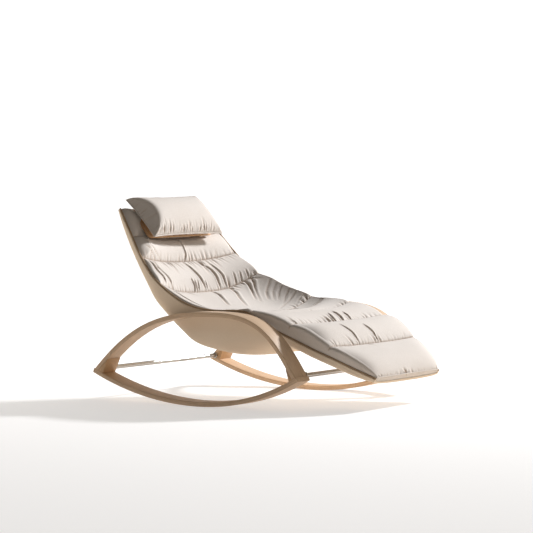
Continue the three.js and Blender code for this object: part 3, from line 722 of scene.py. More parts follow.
def band_between(name, outer, inner, y_low, y_high):
    """A band between two curves in the XZ plane, with the attribute grain."""
    section = rounded_section(y_low, y_high, BAND_THICKNESS, EDGE_RADIUS)
    middle = (outer + inner) / 2
    run = np.concatenate([[0], np.cumsum(np.linalg.norm(np.diff(middle, axis=0), axis=1))])
    rows, columns = len(outer), len(section)
    share = section[:, 1] / BAND_THICKNESS
    plane = outer[:, None] + (inner - outer)[:, None] * share[None, :, None]
    y, deep = (np.broadcast_to(section[:, k], (rows, columns)) for k in (0, 1))
    points = np.stack([plane[..., 0], y, plane[..., 1]], -1).reshape(-1, 3)
    grain = np.stack([np.broadcast_to(run[:, None], (rows, columns)), y, deep], -1).reshape(-1, 3)
    faces = grid_faces(rows, columns, closed=True) + end_faces(rows, columns)
    return outward(mesh_piece(name, points, faces, WOOD_SHARP, [("grain", grain)]))


def arch_line(head_place, foot_place, depth):
    """Points along the arch from one place to another, as many before its crown as after it."""
    shares = np.arange(BAND_STEPS // 2) / (BAND_STEPS // 2)
    places = [*(head_place + (1 - head_place) * shares), *(1 + (foot_place - 1) * shares), foot_place]
    return np.array([arch_point(place, depth) for place in places])


outer = arch_line(0, 2, 0)
landings = [arch_landing(end, BAND_THICKNESS) for end in ("head", "foot")]
inner = arch_line(*landings, BAND_THICKNESS)
for side_name in SIDES:
    arch = band_between(f"arch_band_{side_name}", outer, inner, *beam_span(side_name))
    painted(arch, maple)
    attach(arch, "chaise")
    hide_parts(f"arch_{side_name}")
    print(arch.name, "shown", extent([v.co for v in arch.data.vertices]))

# %% [markdown]
# ## Corner blocks
# A solid wedge fills each corner between arch and rocker and carries the rod's end. It is sawn from
# the same wood, with its grain lying along the rocker, and feathers out on the arch. Its outline is
# run across like a slice, and a Bevel modifier breaks the sawn edges.

# %% Corner blocks
BLOCK_REACH = {"head": 31.0, "foot": 17.0}
BLOCK_RISE = {"head": 56.0, "foot": 42.0}
BLOCK_TIP, BLOCK_INSET, BLOCK_ROUND = 1.5, 0.4, 0.6
BLOCK_SHARP = 35
BLOCK_STEPS, TIP_STEP = 10, 0.004


def block_outline(end):
    """Up along the arch's inner face, down to a toe on the rocker, and back to the tip."""
    sign = 1 if end == "head" else -1
    depth = BAND_THICKNESS + JOINT_GAP
    landing = arch_landing(end, depth)
    heel = arch_point(landing, depth)
    tip = landing
    while arch_point(tip, depth)[1] < heel[1] + BLOCK_RISE[end]:
        tip += sign * TIP_STEP
    outline = [arch_point(tip + (landing - tip) * k / BLOCK_STEPS, depth) for k in range(BLOCK_STEPS + 1)]
    toe_x = heel[0] + sign * BLOCK_REACH[end]
    toe = np.array([toe_x, float(rocker_top(toe_x)) + JOINT_GAP])
    return np.array(outline + [toe, arch_point(tip, depth + BLOCK_TIP)])


def prism(name, outline, y_low, y_high):
    """A flat outline run across, its long edges broken by a small round."""
    count = len(outline)
    ends = [np.stack([outline[:, 0], np.full(count, y), outline[:, 1]], -1) for y in (y_low, y_high)]
    points = np.concatenate(ends)
    faces = grid_faces(2, count, closed=True) + end_faces(2, count)
    piece = mesh_piece(name, points, faces, attributes=[("grain", points)])
    bevel = piece.modifiers.new("round", "BEVEL")
    bevel.width = BLOCK_ROUND * MM
    bevel.segments = 2
    bevel.limit_method = "ANGLE"
    bevel.angle_limit = math.radians(BLOCK_SHARP)
    evaluated = piece.evaluated_get(bpy.context.evaluated_depsgraph_get())
    mesh = bpy.data.meshes.new_from_object(evaluated)
    piece.modifiers.clear()
    piece.data = mesh
    smoothed(mesh, BLOCK_SHARP)
    return outward(piece)


for side_name in SIDES:
    for end in BLOCK_RISE:
        span = beam_span(side_name, BLOCK_INSET)
        block = painted(prism(f"corner_wedge_{end}_{side_name}", block_outline(end), *span), block_wood)
        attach(block, "chaise")
        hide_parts(f"corner_block_{end}_{side_name}")
        print(block.name, "has", len(block.data.polygons), "faces")

# %% [markdown]
# ## Rods and ferrules
# Two chromed rods tie the frames together. Their turned-down ends sit in the corner blocks, and a
# small ferrule covers each shoulder. What a lathe makes is a profile turned about an axis.

# %% Turned pieces
METAL_SHARP = 35
TURNED_SIDES = 48


def turned_piece(name, profile, centre, closed=False):
    """Turns (radius, y) points about an axis along Y through centre = (x, z)."""
    angles = np.linspace(0, 2 * math.pi, TURNED_SIDES, endpoint=False)
    profile = np.array(profile, float)
    x = centre[0] + profile[:, :1] * np.cos(angles)
    z = centre[1] + profile[:, :1] * np.sin(angles)
    y = np.broadcast_to(profile[:, 1:], x.shape)
    points = np.stack([x, y, z], -1).reshape(-1, 3)
    rows = len(profile)
    if closed:
        quads = grid_faces(rows + 1, TURNED_SIDES, closed=True)
        faces = [[v % len(points) for v in quad] for quad in quads]
    else:
        faces = grid_faces(rows, TURNED_SIDES, closed=True) + end_faces(rows, TURNED_SIDES)
    return outward(mesh_piece(name, points, faces, METAL_SHARP))


def eased(corners, radius):
    """A closed outline whose corners are each cut off between two points."""
    out = []
    count = len(corners)
    for k in range(count):
        before, here, after = (np.array(corners[(k + d) % count], float) for d in (-1, 0, 1))
        for other in (before, after):
            length = np.linalg.norm(other - here)
            out.append(here + (other - here) / length * min(radius, length / 3))
    return out


print("turned pieces have", TURNED_SIDES, "sides")

# %% Rods and ferrules
ROD_RADIUS, TENON_RADIUS, TENON_LENGTH, ROD_LIFT = 10.0, 6.0, 45.0, 9.5
ROD_CHAMFER, ROD_PLAIN_END, ROD_STEPS = 0.8, 6.0, 24
ROD_INSET = {"head": 30.0, "foot": 18.0}
ROD_X = {"head": -ROCKER_HEAD + ROD_INSET["head"], "foot": ROCKER_FOOT - ROD_INSET["foot"]}
FERRULE_WALL, FERRULE_LENGTH, FERRULE_EASE = 4.0, 9.0, 0.9


def rod_profile():
    """From tenon to tenon along Y."""
    shoulder, reach = INNER_FACE - JOINT_GAP, INNER_FACE + TENON_LENGTH
    end = [
        (TENON_RADIUS, reach),
        (TENON_RADIUS, shoulder),
        (ROD_RADIUS - ROD_CHAMFER, shoulder),
        (ROD_RADIUS, shoulder - ROD_CHAMFER),
    ]
    plain = shoulder - ROD_PLAIN_END
    middle = [(ROD_RADIUS, y) for y in np.linspace(-plain, plain, ROD_STEPS)]
    return [(r, -y) for r, y in end] + middle + end[::-1]


def ferrule_profile(side):
    """A small collar against the frame's inner face."""
    shoulder = INNER_FACE - JOINT_GAP
    near, far = side * (shoulder - FERRULE_LENGTH), side * shoulder
    bore = ROD_RADIUS + JOINT_GAP
    outside = bore + FERRULE_WALL
    return eased([(bore, near), (outside, near), (outside, far), (bore, far)], FERRULE_EASE)


for end, x in ROD_X.items():
    centre = off_rocker(x, BAND_THICKNESS + JOINT_GAP + ROD_LIFT)
    rod = painted(turned_piece(f"rod_{end}", rod_profile(), centre), chrome)
    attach(rod, "chaise")
    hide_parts(f"cross_rod_{end}")
    for side_name, side in SIDES.items():
        profile = ferrule_profile(side)
        ferrule = painted(turned_piece(f"ferrule_{end}_{side_name}", profile, centre, closed=True), chrome)
        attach(ferrule, "chaise")
        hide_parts(f"rod_ferrule_{end}_{side_name}")
    print(rod.name, "lies at", centre.round(1))

# %% [markdown]
# ## The seat shell's sections
# The shell is a trough whose section changes from the flat head, through the deep bucket of the seat,
# to the shallow leg rest. Each row of the table is one section; between rows its values run smoothly.

# %% Sections from head to foot
BODY_LENGTH, HEAD_HEIGHT, SHELL_THICKNESS, SHELL_DEPTH = 1486.0, 826.0, 10.0, 206.0
HEAD_SETBACK = 5.0
HEAD_REACH = ROCKER_HEAD - HEAD_SETBACK
SPACER, PAD_GAP, PIPING_RADIUS = 2.4, 0.5, 3.5
SHELL_HALF_WIDTH = INNER_FACE - 2 * JOINT_GAP - SPACER
PAD_EDGE_RISE, PAD_HOLLOW = 48.0, 98.0
# What the columns hold: the place along the body and up it and the half width as shares of the whole,
# the depth of shell and mattress as shares of the greatest depth, the lean in degrees, how square the
# trough is, and how far the mattress's edge stands up and its middle is hollow.
KEYS = ("along", "up", "wide", "deep", "pad", "lean", "square", "rise", "hollow")
ROWS = np.array([
    (0, 1, 0.765, 0.22, 1, 47.5, 0, 0.17, 0.16),
    (0.031, 0.94, 0.803, 0.36, 1, 47.5, 0, 0.17, 0.22),
    (0.075, 0.851, 0.85, 0.456, 1, 47, 0, 0.11, 0.28),
    (0.128, 0.748, 0.91, 0.485, 1, 45, 0, 0.06, 0.39),
    (0.185, 0.657, 0.957, 0.58, 0.46, 41, 0.1, 0.5, 0.72),
    (0.227, 0.609, 0.982, 0.7, 0.515, 36, 0.3, 0.74, 1.03),
    (0.275, 0.564, 0.996, 0.73, 0.515, 30, 0.6, 0.97, 1.04),
    (0.328, 0.524, 1, 0.79, 0.5, 24, 1, 1, 1.03),
    (0.379, 0.501, 1, 0.946, 0.475, 18, 1, 1.03, 1.02),
    (0.434, 0.493, 1, 0.976, 0.427, 11, 1, 0.93, 0.85),
    (0.488, 0.494, 1, 1, 0.32, 5, 1, 0.54, 0.42),
    (0.542, 0.5, 1, 0.985, 0.243, 1, 1, 0.31, 0.12),
    (0.589, 0.498, 1, 0.903, 0.213, 3, 1, 0.31, 0.15),
    (0.622, 0.472, 0.985, 0.728, 0.204, 8, 1, 0.52, 0.19),
    (0.663, 0.437, 0.964, 0.505, 0.213, 15, 1, 0.92, 0.17),
    (0.711, 0.404, 0.942, 0.32, 1, 20, 1, 1.18, 0.15),
    (0.767, 0.369, 0.912, 0.252, 1, 21, 1, 1.18, 0.13),
    (0.824, 0.333, 0.882, 0.243, 1, 21, 1, 1.02, 0.1),
    (0.882, 0.297, 0.83, 0.233, 1, 21, 1, 0.92, 0.09),
    (0.932, 0.26, 0.76, 0.214, 1, 22, 1, 0.69, 0.07),
    (0.972, 0.23, 0.694, 0.175, 1, 23, 1, 0.46, 0.06),
    (1, 0.207, 0.63, 0.117, 1, 24, 1, 0.25, 0.05),
])
LAST_ROW = len(ROWS) - 1


def row_value(key, row):
    """A smooth curve through the table's column."""
    column = ROWS[:, KEYS.index(key)]
    row = np.asarray(row, float)
    i = np.clip(np.floor(row).astype(int), 0, LAST_ROW)
    t = row - i
    p0, p1 = column[np.maximum(i - 1, 0)], column[i]
    p2, p3 = column[np.minimum(i + 1, LAST_ROW)], column[np.minimum(i + 2, LAST_ROW)]
    v0, v1 = (p2 - p0) / 2, (p3 - p1) / 2
    return (2 * p1 - 2 * p2 + v0 + v1) * t**3 + (-3 * p1 + 3 * p2 - 2 * v0 - v1) * t**2 + v0 * t + p1


def stations(rows):
    """The sections at some rows, each value as a column of its own."""
    rows = np.asarray(rows, float)
    value = {key: row_value(key, rows)[:, None] for key in KEYS}
    depth = value["deep"] * SHELL_DEPTH
    lean = np.radians(value["lean"])
    return {
        "row": rows[:, None],
        "x": -HEAD_REACH + value["along"] * BODY_LENGTH,
        "z": value["up"] * HEAD_HEIGHT,
        "half": np.minimum(value["wide"], 1) * SHELL_HALF_WIDTH,
        "depth": depth,
        "pad_depth": np.minimum(value["pad"] * SHELL_DEPTH, depth - SHELL_THICKNESS - PAD_GAP),
        "sin": np.sin(lean),
        "cos": np.cos(lean),
        "square": np.clip(value["square"], 0, 1),
        "rise": value["rise"] * PAD_EDGE_RISE,
        "hollow": value["hollow"] * PAD_HOLLOW,
    }


def section_points(st, y, q):
    """Points y across and q above the plane of the rim."""
    y, q = np.broadcast_arrays(y, q)
    return np.stack([st["x"] + q * st["sin"], y, st["z"] + q * st["cos"]], -1)


print("sections", len(ROWS))

# %% The trough's round
# For a round and for a square section: the upright wall under the rim as a share of the depth, and
# how full the curve below it is.
WALL_SHARES, FULLNESS = (0.06, 0.28), (2.3, 3.0)


def half_section(st, steps):
    """Shares of width and depth from the rim down to the middle, one row of points per section."""
    wall = mix(*WALL_SHARES, st["square"])
    power = 2 / mix(*FULLNESS, st["square"])
    angle = np.arange(steps + 1)[None] / steps * math.pi / 2
    wide = np.maximum(np.cos(angle), 0) ** power
    deep = wall + (1 - wall) * np.sin(angle) ** power
    start = np.ones_like(wall)
    return np.concatenate([start, wide], 1), np.concatenate([0 * start, deep], 1)


def trough(st, half, depth, steps):
    """Points from rim to rim, as wide and deep as is asked at each section."""
    wide, deep = half_section(st, steps)
    right_y, right_q = wide * half, -deep * depth
    y = np.concatenate([-right_y[:, :-1], right_y[:, ::-1]], 1)
    q = np.concatenate([right_q[:, :-1], right_q[:, ::-1]], 1)
    return section_points(st, y, q)


print("the trough is", round(2 * SHELL_HALF_WIDTH), "mm wide and", round(SHELL_DEPTH), "mm deep at most")

# %% [markdown]
# ## Seat shell
# The shell is moulded as one piece about 10 mm thick, and a smooth beige cloth is drawn over it. An
# outer and an inner trough make one closed ring at each section. A Solidify modifier could add the
# wall, but the mattress and the foam have to know exactly where its inner face lies.

# %% Shell
SHELL_ROWS, SHELL_STEPS = 170, 26
SHELL_SHARP = 50


def end_strip(row, columns):
    """Quads between the outer and the inner half of one ring."""
    first, last = row * columns, (row + 1) * columns - 1
    return [[first + k, first + k + 1, last - k - 1, last - k] for k in range(columns // 2 - 1)]


def moulded_shell():
    st = stations(np.linspace(0, LAST_ROW, SHELL_ROWS))
    outer = trough(st, st["half"], st["depth"], SHELL_STEPS)
    inner = trough(st, st["half"] - SHELL_THICKNESS, st["depth"] - SHELL_THICKNESS, SHELL_STEPS)
    ring = np.concatenate([outer, inner[:, ::-1]], 1)
    rows, columns = ring.shape[:2]
    faces = grid_faces(rows, columns, closed=True) + end_strip(0, columns)
    faces += [quad[::-1] for quad in end_strip(rows - 1, columns)]
    return outward(mesh_piece("moulded_shell", ring.reshape(-1, 3), faces, SHELL_SHARP))


shell = painted(moulded_shell(), shell_cloth)
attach(shell, "chaise")
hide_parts("seat_shell")
print("shell", extent([v.co for v in shell.data.vertices]))

# %% [markdown]
# ## Piping along the rim
# A cord wrapped in brown cloth is sewn into the cover's edge, all along the rim. A node tree sweeps a
# round section along the rim's path, and the same tree makes the other cords later on.

# %% Cord tree
CORD_SIDES = 12


def cord_along_tree():
    inputs = [("Radius", NUMBER, PIPING_RADIUS * MM), ("Sides", WHOLE, CORD_SIDES)]
    tree, given, end_with = geometry_tree("cord_along", inputs)
    curve = add_node(tree, "GeometryNodeMeshToCurve", i0=given["Geometry"]).outputs[0]
    sizes = {"Radius": given["Radius"], "Resolution": given["Sides"]}
    circle = add_node(tree, "GeometryNodeCurvePrimitiveCircle", **sizes).outputs[0]
    return end_with(swept(tree, curve, circle))


cord_tree = cord_along_tree()


def cord_piece(name, path, radius, sides, material):
    piece = baked(name, [path], cord_tree, material, Radius=radius, Sides=sides)
    smoothed(piece.data)
    return outward(piece)


print("cord tree has", len(cord_tree.nodes), "nodes")

# %% Rim piping
RIM_STEPS = 200
rim_st = stations(np.linspace(0, LAST_ROW, RIM_STEPS))
rim_y = rim_st["half"] - SHELL_THICKNESS / 2
rim_q = np.full_like(rim_y, PIPING_RADIUS + JOINT_GAP)
for side_name, side in SIDES.items():
    line = section_points(rim_st, side * rim_y, rim_q)[:, 0]
    piping = cord_piece(f"piping_{side_name}", line, PIPING_RADIUS, CORD_SIDES, piping_cloth)
    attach(piping, "chaise")
    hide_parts(f"rim_piping_{side_name}")
    print(piping.name, "runs", round(float(np.linalg.norm(np.diff(line, axis=0), axis=1).sum())), "mm")

# %% [markdown]
# ## Quilted mattress
# The mattress is sewn into eight puffs by channels across it, and is split at the knees. The filling
# lifts each puff between its seams. Where the cover is gathered into a seam, creases fan out from it
# and die away in the puff. The edge is rounded and bulges a little over the rim. A cloth simulation
# could blow it up, but then the folds would lie anywhere, so the surface is shaped by rules.

# %% Seams and puffs
SEAM_SHARES = [0.005, 0.0967, 0.1486, 0.2381, 0.4476, 0.5905, 0.7333, 0.8429, 0.9967]
SEAMS = np.array(SEAM_SHARES) * LAST_ROW
KNEE = 5
SPLIT_SHARE = 0.0003
SPLIT = SPLIT_SHARE * LAST_ROW
PUFFS = np.array([20.0, 26, 30, 30, 20, 24, 40, 28])
# What is left of each puff at the near and the far edge: the leg rest's filling has shifted a little.
NEAR_PUFF = np.array([1.0, 1.3, 0.35, 0.15, 0.25, 0.25, 0.15, 0.2])
FAR_PUFF = np.array([0.25, 0.25, 0.4, 0.4, 0.4, 0.5, 0.55, 0.3])
PUFF_POWER = np.array([6.0, 6, 6, 6, 5, 8, 8, 8])
PUFF_ROWS = [30, 22, 34, 60, 44, 38, 38, 38]
PUFF_ROUNDNESS = 0.7
RUN_STEPS = 1500


def puff_of(row):
    return np.clip(np.searchsorted(SEAMS, row, side="right") - 1, 0, len(PUFFS) - 1)


def puff_share(row):
    p = puff_of(row)
    return np.clip((row - SEAMS[p]) / (SEAMS[p + 1] - SEAMS[p]), 0, 1)


fine_rows = np.linspace(0, LAST_ROW, RUN_STEPS)
fine_rim = section_points(stations(fine_rows), np.zeros((RUN_STEPS, 1)), 0.0)[:, 0]
fine_run = np.concatenate([[0], np.cumsum(np.linalg.norm(np.diff(fine_rim, axis=0), axis=1))])


def run_of(row):
    """How far down the mattress a row lies, in millimetres."""
    return np.interp(row, fine_rows, fine_run)


def puff_at(row, wide, far=0.5):
    """How far a puff stands up; far is 0 on the near half and 1 on the far half."""
    p = puff_of(row)
    along = np.sin(math.pi * puff_share(row)) ** PUFF_ROUNDNESS
    edge = mix(NEAR_PUFF[p], FAR_PUFF[p], far)
    return PUFFS[p] * along * mix(edge, 1.0, 1 - wide ** PUFF_POWER[p])


print("puffs", len(PUFFS), "over", round(run_of(LAST_ROW)), "mm")

# %% [markdown]
# ### The mattress's top
# The mattress is hollow across its middle. At the seat, use has pressed its near edge down and left a
# valley before the knees, from which the leg rest rises again.

# %% Height of the top
# A change along the body is given as the row where it starts and the rows that it takes.
PRESSED_FROM, PRESSED_UNTIL = (3.1, 0.9), (11.0, 1.2)
VALLEY_FROM, VALLEY_EASES, LEG_RISES = (9.2, 1.2), (10.5, 1.7), (12.8, 1.8)
NEAR_RISE = 0.12
KNEE_DIP, LEG_DIP = 44.0, 13.0
VALLEY_EASE_SHARE, KNEE_LIP_SHARE, KNEE_LIP_ROWS = 0.45, 0.55, 0.5
HOLLOW_POWERS = (2.4, 3.8)  # for a round and for a square section
GROOVE_DEPTH, GROOVE_WIDTH = 3.4, 2.8


def past(st, change):
    """0 before a change along the body and 1 after it."""
    start, rows = change
    return smooth_step((st["row"] - start) / rows)


def until(st, change):
    """1 before a change along the body and 0 after it."""
    start, rows = change
    return smooth_step((start + rows - st["row"]) / rows)


def edge_rise(st, far):
    """How high the edge stands; beside the seat the near one is pressed down."""
    pressed = past(st, PRESSED_FROM) * until(st, PRESSED_UNTIL)
    return st["rise"] * (1 - (1 - far) * (1 - NEAR_RISE) * pressed)


def valley_depth(st):
    """How much deeper the hollow is on both sides of the split at the knees."""
    seat = KNEE_DIP * past(st, VALLEY_FROM) * (1 - VALLEY_EASE_SHARE * past(st, VALLEY_EASES))
    leg = LEG_DIP * (1 - past(st, LEG_RISES))
    at_split = 1 - np.clip((st["row"] - SEAMS[KNEE]) / KNEE_LIP_ROWS, 0, 1)
    leg = leg + (KNEE_LIP_SHARE * KNEE_DIP - LEG_DIP) * at_split**2
    return np.where(st["row"] < SEAMS[KNEE], seat, leg)


def pad_top(st, wide, far=0.5, crest=1.0):
    """The mattress's height; its hollow reaches the edge's height at the crest."""
    power = mix(*HOLLOW_POWERS, st["square"])
    rise = edge_rise(st, far)
    hollow = st["hollow"] + valley_depth(st) - (st["rise"] - rise)
    return rise - hollow * (1 - np.minimum(wide / crest, 1) ** power) + puff_at(st["row"], wide, far)


def seam_groove(row):
    """The stitches pull a narrow groove into the cover along each seam between two puffs."""
    run = run_of(row)
    nearest = np.min(np.abs(run[..., None] - run_of(SEAMS[1:-1])), axis=-1)
    return -GROOVE_DEPTH * np.exp(-((nearest / GROOVE_WIDTH) ** 2))


middle = pad_top(stations(SEAMS), 0.0)[:, 0]
print("the middle of the top lies at each seam", middle.round(1), "mm from the rim")

# %% [markdown]
# ### Gathers and folds
# The cover is longer than the seams that hold it, so short gathers stand along each seam. Where a
# puff has been sat on, its slack lies in a few longer folds. Both are cut into the surface itself.

# %% Gathers along the seams
# Short gathers: puff, its start (0) or end (1), how strongly, from where to where across as shares
# of the half width, and how far into the puff the longest run.
GATHERS = [
    (0, 1, 0.5, -1, 1, 0.3), (1, 0, 0.5, -1, 1, 0.4), (1, 1, 0.7, -1, 1, 0.5),
    (2, 0, 1.0, -1, 1, 0.6), (2, 1, 0.9, -0.95, 0.95, 0.4), (3, 0, 1.0, -0.95, 0.95, 0.25),
    (3, 1, 0.6, -0.9, 0.9, 0.16), (4, 0, 0.8, -0.9, 0.9, 0.25), (4, 1, 0.6, -0.9, 0.9, 0.2),
    (5, 0, 0.6, -0.95, 0.9, 0.2), (5, 1, 0.9, -0.9, 0.4, 0.3), (5, 1, 0.5, 0.4, 0.9, 0.2),
    (6, 0, 0.5, -0.9, 0.8, 0.2), (6, 1, 0.8, -0.9, 0.2, 0.3), (6, 1, 0.4, 0.2, 0.9, 0.2),
    (7, 0, 0.4, -0.9, 0.6, 0.2), (7, 1, 0.7, -0.95, 0.95, 0.16),
]
COVER_HALF = 290.0
GATHER_SPACING, SPOT_JITTER = 15.0, 0.48
# The least that a crease has and what its random size adds, in millimetres.
CREASE_WIDTH, CREASE_DEPTH = (2.2, 2.8), (1.5, 6.0)
CREASE_SLANT, CREASE_WIDENS, CREASE_FADES = 0.035, 0.9, 1.2
CREASE_LIP, CREASE_POWER = (0.4, 1.7), 1.6
SEAM_SHARE, SEAM_REACH = 0.35, 0.15
rng = np.random.default_rng(7)


def gather_creases():
    """Creases: puff, end, place across as a share, slant, width, length and depth."""
    creases = []
    for p, end, strength, low, high, reach in GATHERS:
        count = int((high - low) * COVER_HALF / GATHER_SPACING)
        spots = (np.arange(count) + rng.uniform(-SPOT_JITTER, SPOT_JITTER, count)) / (count - 1)
        clusters = 0.55 + 0.45 * np.sin(rng.uniform(0, 6.3) + spots * rng.uniform(9, 15))
        for spot, cluster in zip(spots, clusters):
            size = rng.uniform(0.15, 1) ** 1.6
            width = CREASE_WIDTH[0] + CREASE_WIDTH[1] * size
            depth = strength * (CREASE_DEPTH[0] + CREASE_DEPTH[1] * size) * (0.35 + 0.65 * cluster)
            length = reach * (0.25 + 0.75 * size) * (0.6 + 0.4 * cluster)
            slant = rng.normal(0, CREASE_SLANT)
            creases.append((p, end, low + (high - low) * spot, slant, width, length, depth))
    return creases


CREASES = gather_creases()


def lip(off, height, place):
    """A soft lip on both sides of a line."""
    return height * np.exp(-((np.abs(off) - place) ** 2))


def valley(off, power):
    """A valley along a line; a smaller power makes it sharper."""
    return -np.exp(-(np.abs(off) ** power))


def gather_height(row, y, half):
    """All short gathers; each widens and fades as it runs into its puff."""
    p = puff_of(row)
    share = puff_share(row)
    height = np.zeros(np.broadcast(row, y).shape)
    for puff, end, spot, slant, width, length, depth in CREASES:
        from_seam = share[:, :1] if end == 0 else 1 - share[:, :1]
        lines = np.nonzero((p[:, 0] == puff) & (from_seam[:, 0] < length))[0]
        if not len(lines):
            continue
        run_on = from_seam[lines] / length
        fade = mix(SEAM_SHARE, 1, smooth_step(run_on / SEAM_REACH)) * (1 - run_on) ** CREASE_FADES
        off = (y[lines] - (spot + slant * run_on) * half[lines]) / (width * (1 + CREASE_WIDENS * run_on))
        height[lines] += depth * fade * (lip(off, *CREASE_LIP) + valley(off, CREASE_POWER))
    return height


print("short creases", len(CREASES))

# %% Long folds
# Longer folds: rows and places across, as shares of the half width, then width and depth.
FOLDS = [
    ([(3.2, -0.1), (3.9, -0.06), (4.3, -0.02), (4.8, 0.02)], 4.5, 7),
    ([(3.2, 0.19), (3.8, 0.28), (4.35, 0.3), (4.9, 0.31)], 4.5, 8),
    ([(3.5, 0.37), (4.3, 0.42), (4.9, 0.42)], 4.0, 7),
    ([(3.2, -0.93), (3.9, -0.9), (4.34, -0.84), (4.75, -0.83)], 4.5, 7),
    ([(3.4, -0.88), (4.13, -0.75), (4.47, -0.7), (4.9, -0.69)], 4.0, 6),
    ([(4.25, -0.22), (4.7, -0.19), (4.99, -0.21)], 3.0, 6),
    ([(4.35, -0.16), (4.99, -0.15)], 3.0, 5),
    ([(4.4, -0.1), (4.99, -0.11)], 3.0, 5),
    ([(4.45, 0.05), (4.98, 0.06)], 3.0, 4),
    ([(4.3, 0.61), (4.97, 0.6)], 3.5, 4),
    ([(4.4, 0.71), (4.97, 0.69)], 3.5, 4),
    ([(4.4, 0.81), (4.97, 0.8)], 3.5, 4),
    ([(5.03, 0.13), (5.7, 0.06), (6.33, -0.03), (7.3, -0.16)], 5.0, 8),
    ([(5.1, 0.47), (5.9, 0.37), (6.5, 0.27), (7.6, 0.12)], 5.0, 6),
    ([(5.03, 0.73), (5.5, 0.69), (5.97, 0.62), (7.0, 0.46)], 5.0, 7),
    ([(5.03, 0.82), (5.5, 0.77), (6.06, 0.66), (7.3, 0.47)], 4.5, 6),
    ([(5.1, -0.9), (6.2, -0.86), (7.2, -0.83), (8.4, -0.78)], 5.0, 6),
    ([(7.4, 0.6), (6.74, 0.71), (6.02, 0.92)], 5.0, 3.5),
    ([(7.7, 0.64), (7.0, 0.77), (6.5, 0.94)], 4.0, 2.5),
    ([(7.9, 0.68), (7.4, 0.79), (6.95, 0.93)], 3.5, 3),
    ([(8.6, 0.6), (7.9, 0.82), (7.55, 0.96)], 4.5, 2.5),
    ([(8.9, 0.45), (8.5, 0.75), (8.2, 0.94)], 5.0, 3.5),
    ([(9.2, 0.7), (9.0, 0.8), (8.8, 0.95)], 3.5, 2),
    ([(2.25, 0.0), (2.9, 0.01), (3.1, -0.03)], 3.0, 6),
    ([(2.55, -0.9), (2.85, -0.8), (3.1, -0.7)], 4.0, 5),
    ([(2.35, -0.87), (2.75, -0.72), (3.1, -0.58)], 4.0, 4),
    ([(10.9, -0.75), (10.8, -0.2), (10.5, 0.4), (10.35, 0.92)], 7.0, 11),
    ([(14.6, 0.02), (15.0, -0.02), (15.38, -0.03)], 4.0, 8),
    ([(14.4, 0.16), (15.0, 0.15), (15.38, 0.13)], 4.5, 9),
    ([(14.6, 0.32), (15.0, 0.32), (15.38, 0.3)], 4.0, 6),
    ([(16.6, 0.1), (17.2, 0.14), (17.68, 0.12)], 4.0, 6),
    ([(16.4, -0.35), (17.1, -0.3), (17.68, -0.32)], 4.0, 5),
]
# A fold has one sample to so many millimetres, and some more.
FOLD_SAMPLE, MORE_SAMPLES = 4.0, 25
FOLD_REACH, FOLD_POWER = 20.0, 1.5
LOW_LIP, HIGH_LIP, LIP_PLACE = 0.25, 0.55, 1.8
TAPER_START, TAPER_SPAN, TAPER_POWER = 0.08, 0.88, 0.7


def fold_line(points):
    """Many samples along a fold: how far down, how far across as a share, and the share of its length."""
    knots = np.array(points)
    length = np.hypot(np.ptp(run_of(knots[:, 0])), COVER_HALF * np.ptp(knots[:, 1]))
    at = np.linspace(0, 1, MORE_SAMPLES + int(length / FOLD_SAMPLE))
    spots = np.stack([np.interp(at, np.linspace(0, 1, len(knots)), knots[:, k]) for k in (0, 1)], -1)
    spots[1:-1] = (spots[:-2] + spots[1:-1] + spots[2:]) / 3
    return spots[:, 0], spots[:, 1], at


def fold_height(row, y, half):
    """The folds' depth; each is a smooth line, drawn on the unrolled mattress."""
    run = run_of(row)
    height = np.zeros(y.shape)
    for points, width, depth in FOLDS:
        line_row, line_share, at = fold_line(points)
        line_run = run_of(line_row)
        line_y = line_share * np.interp(line_row, row[:, 0], half[:, 0])
        within = (run[:, 0] > line_run.min() - FOLD_REACH) & (run[:, 0] < line_run.max() + FOLD_REACH)
        same_puff = puff_of(row[:, 0]) == puff_of(points[len(points) // 2][0])
        lines = np.nonzero(within & same_puff)[0]
        if not len(lines):
            continue
        off_run = run[lines][..., None] - line_run
        off_y = y[lines][..., None] - line_y
        away = np.hypot(off_run, off_y)
        nearest = away.argmin(axis=-1)
        side = np.sign(np.take_along_axis(off_y, nearest[..., None], -1)[..., 0])
        distance = np.take_along_axis(away, nearest[..., None], -1)[..., 0] / width
        taper = np.sin(math.pi * (at[nearest] * TAPER_SPAN + TAPER_START)) ** TAPER_POWER
        lips = lip(distance, np.where(side > 0, HIGH_LIP, LOW_LIP), LIP_PLACE)
        height[lines] += depth * taper * (lips + valley(distance, FOLD_POWER))
    return height


print("long folds", len(FOLDS))

# %% [markdown]
# ### The mattress's sections
# Each section is a closed loop: from the middle over the top, down the rounded edge, below the
# mattress and up on the other side. How wide and how high the edge is rolled changes from the back
# through the seat to the leg rest.

# %% One side of the sections
TOP_STEPS, EDGE_STEPS, SIDE_STEPS, UNDER_STEPS = 170, 9, 6, 8
SPREAD = 0.8 * math.pi / 2
BACK_UNTIL, LEG_FROM = (2.6, 1.2), (12.0, 0.6)
SEAT_FROM, SEAT_UNTIL = (3.2, 0.8), (10.8, 1.2)
# How far the edge is turned in, as a share of the half width.
TURN_SHARE = {"plain": 0.075, "near_seat": 0.035, "leg": 0.045, "back": 0.2}
# Shares of the edge's height, for the seat and for the back.
TURN_LIMIT_SHARES, ROLL_SHARES = (0.7, 1.8), (0.66, 0.9)
LEG_ROLL, LEG_ROLL_SHARE = 14.0, 0.5
BULGE, BULGE_SHARE = 7.0, 0.14
LEAST_EDGE, LEAST_WALL, LEAST_ROLL, RIM_CLEARANCE = 3.0, 2.0, 0.5, 1.0
CREST_BACK = 0.55


def quarter(steps):
    return np.linspace(0, math.pi / 2, steps + 1)[None, 1:]


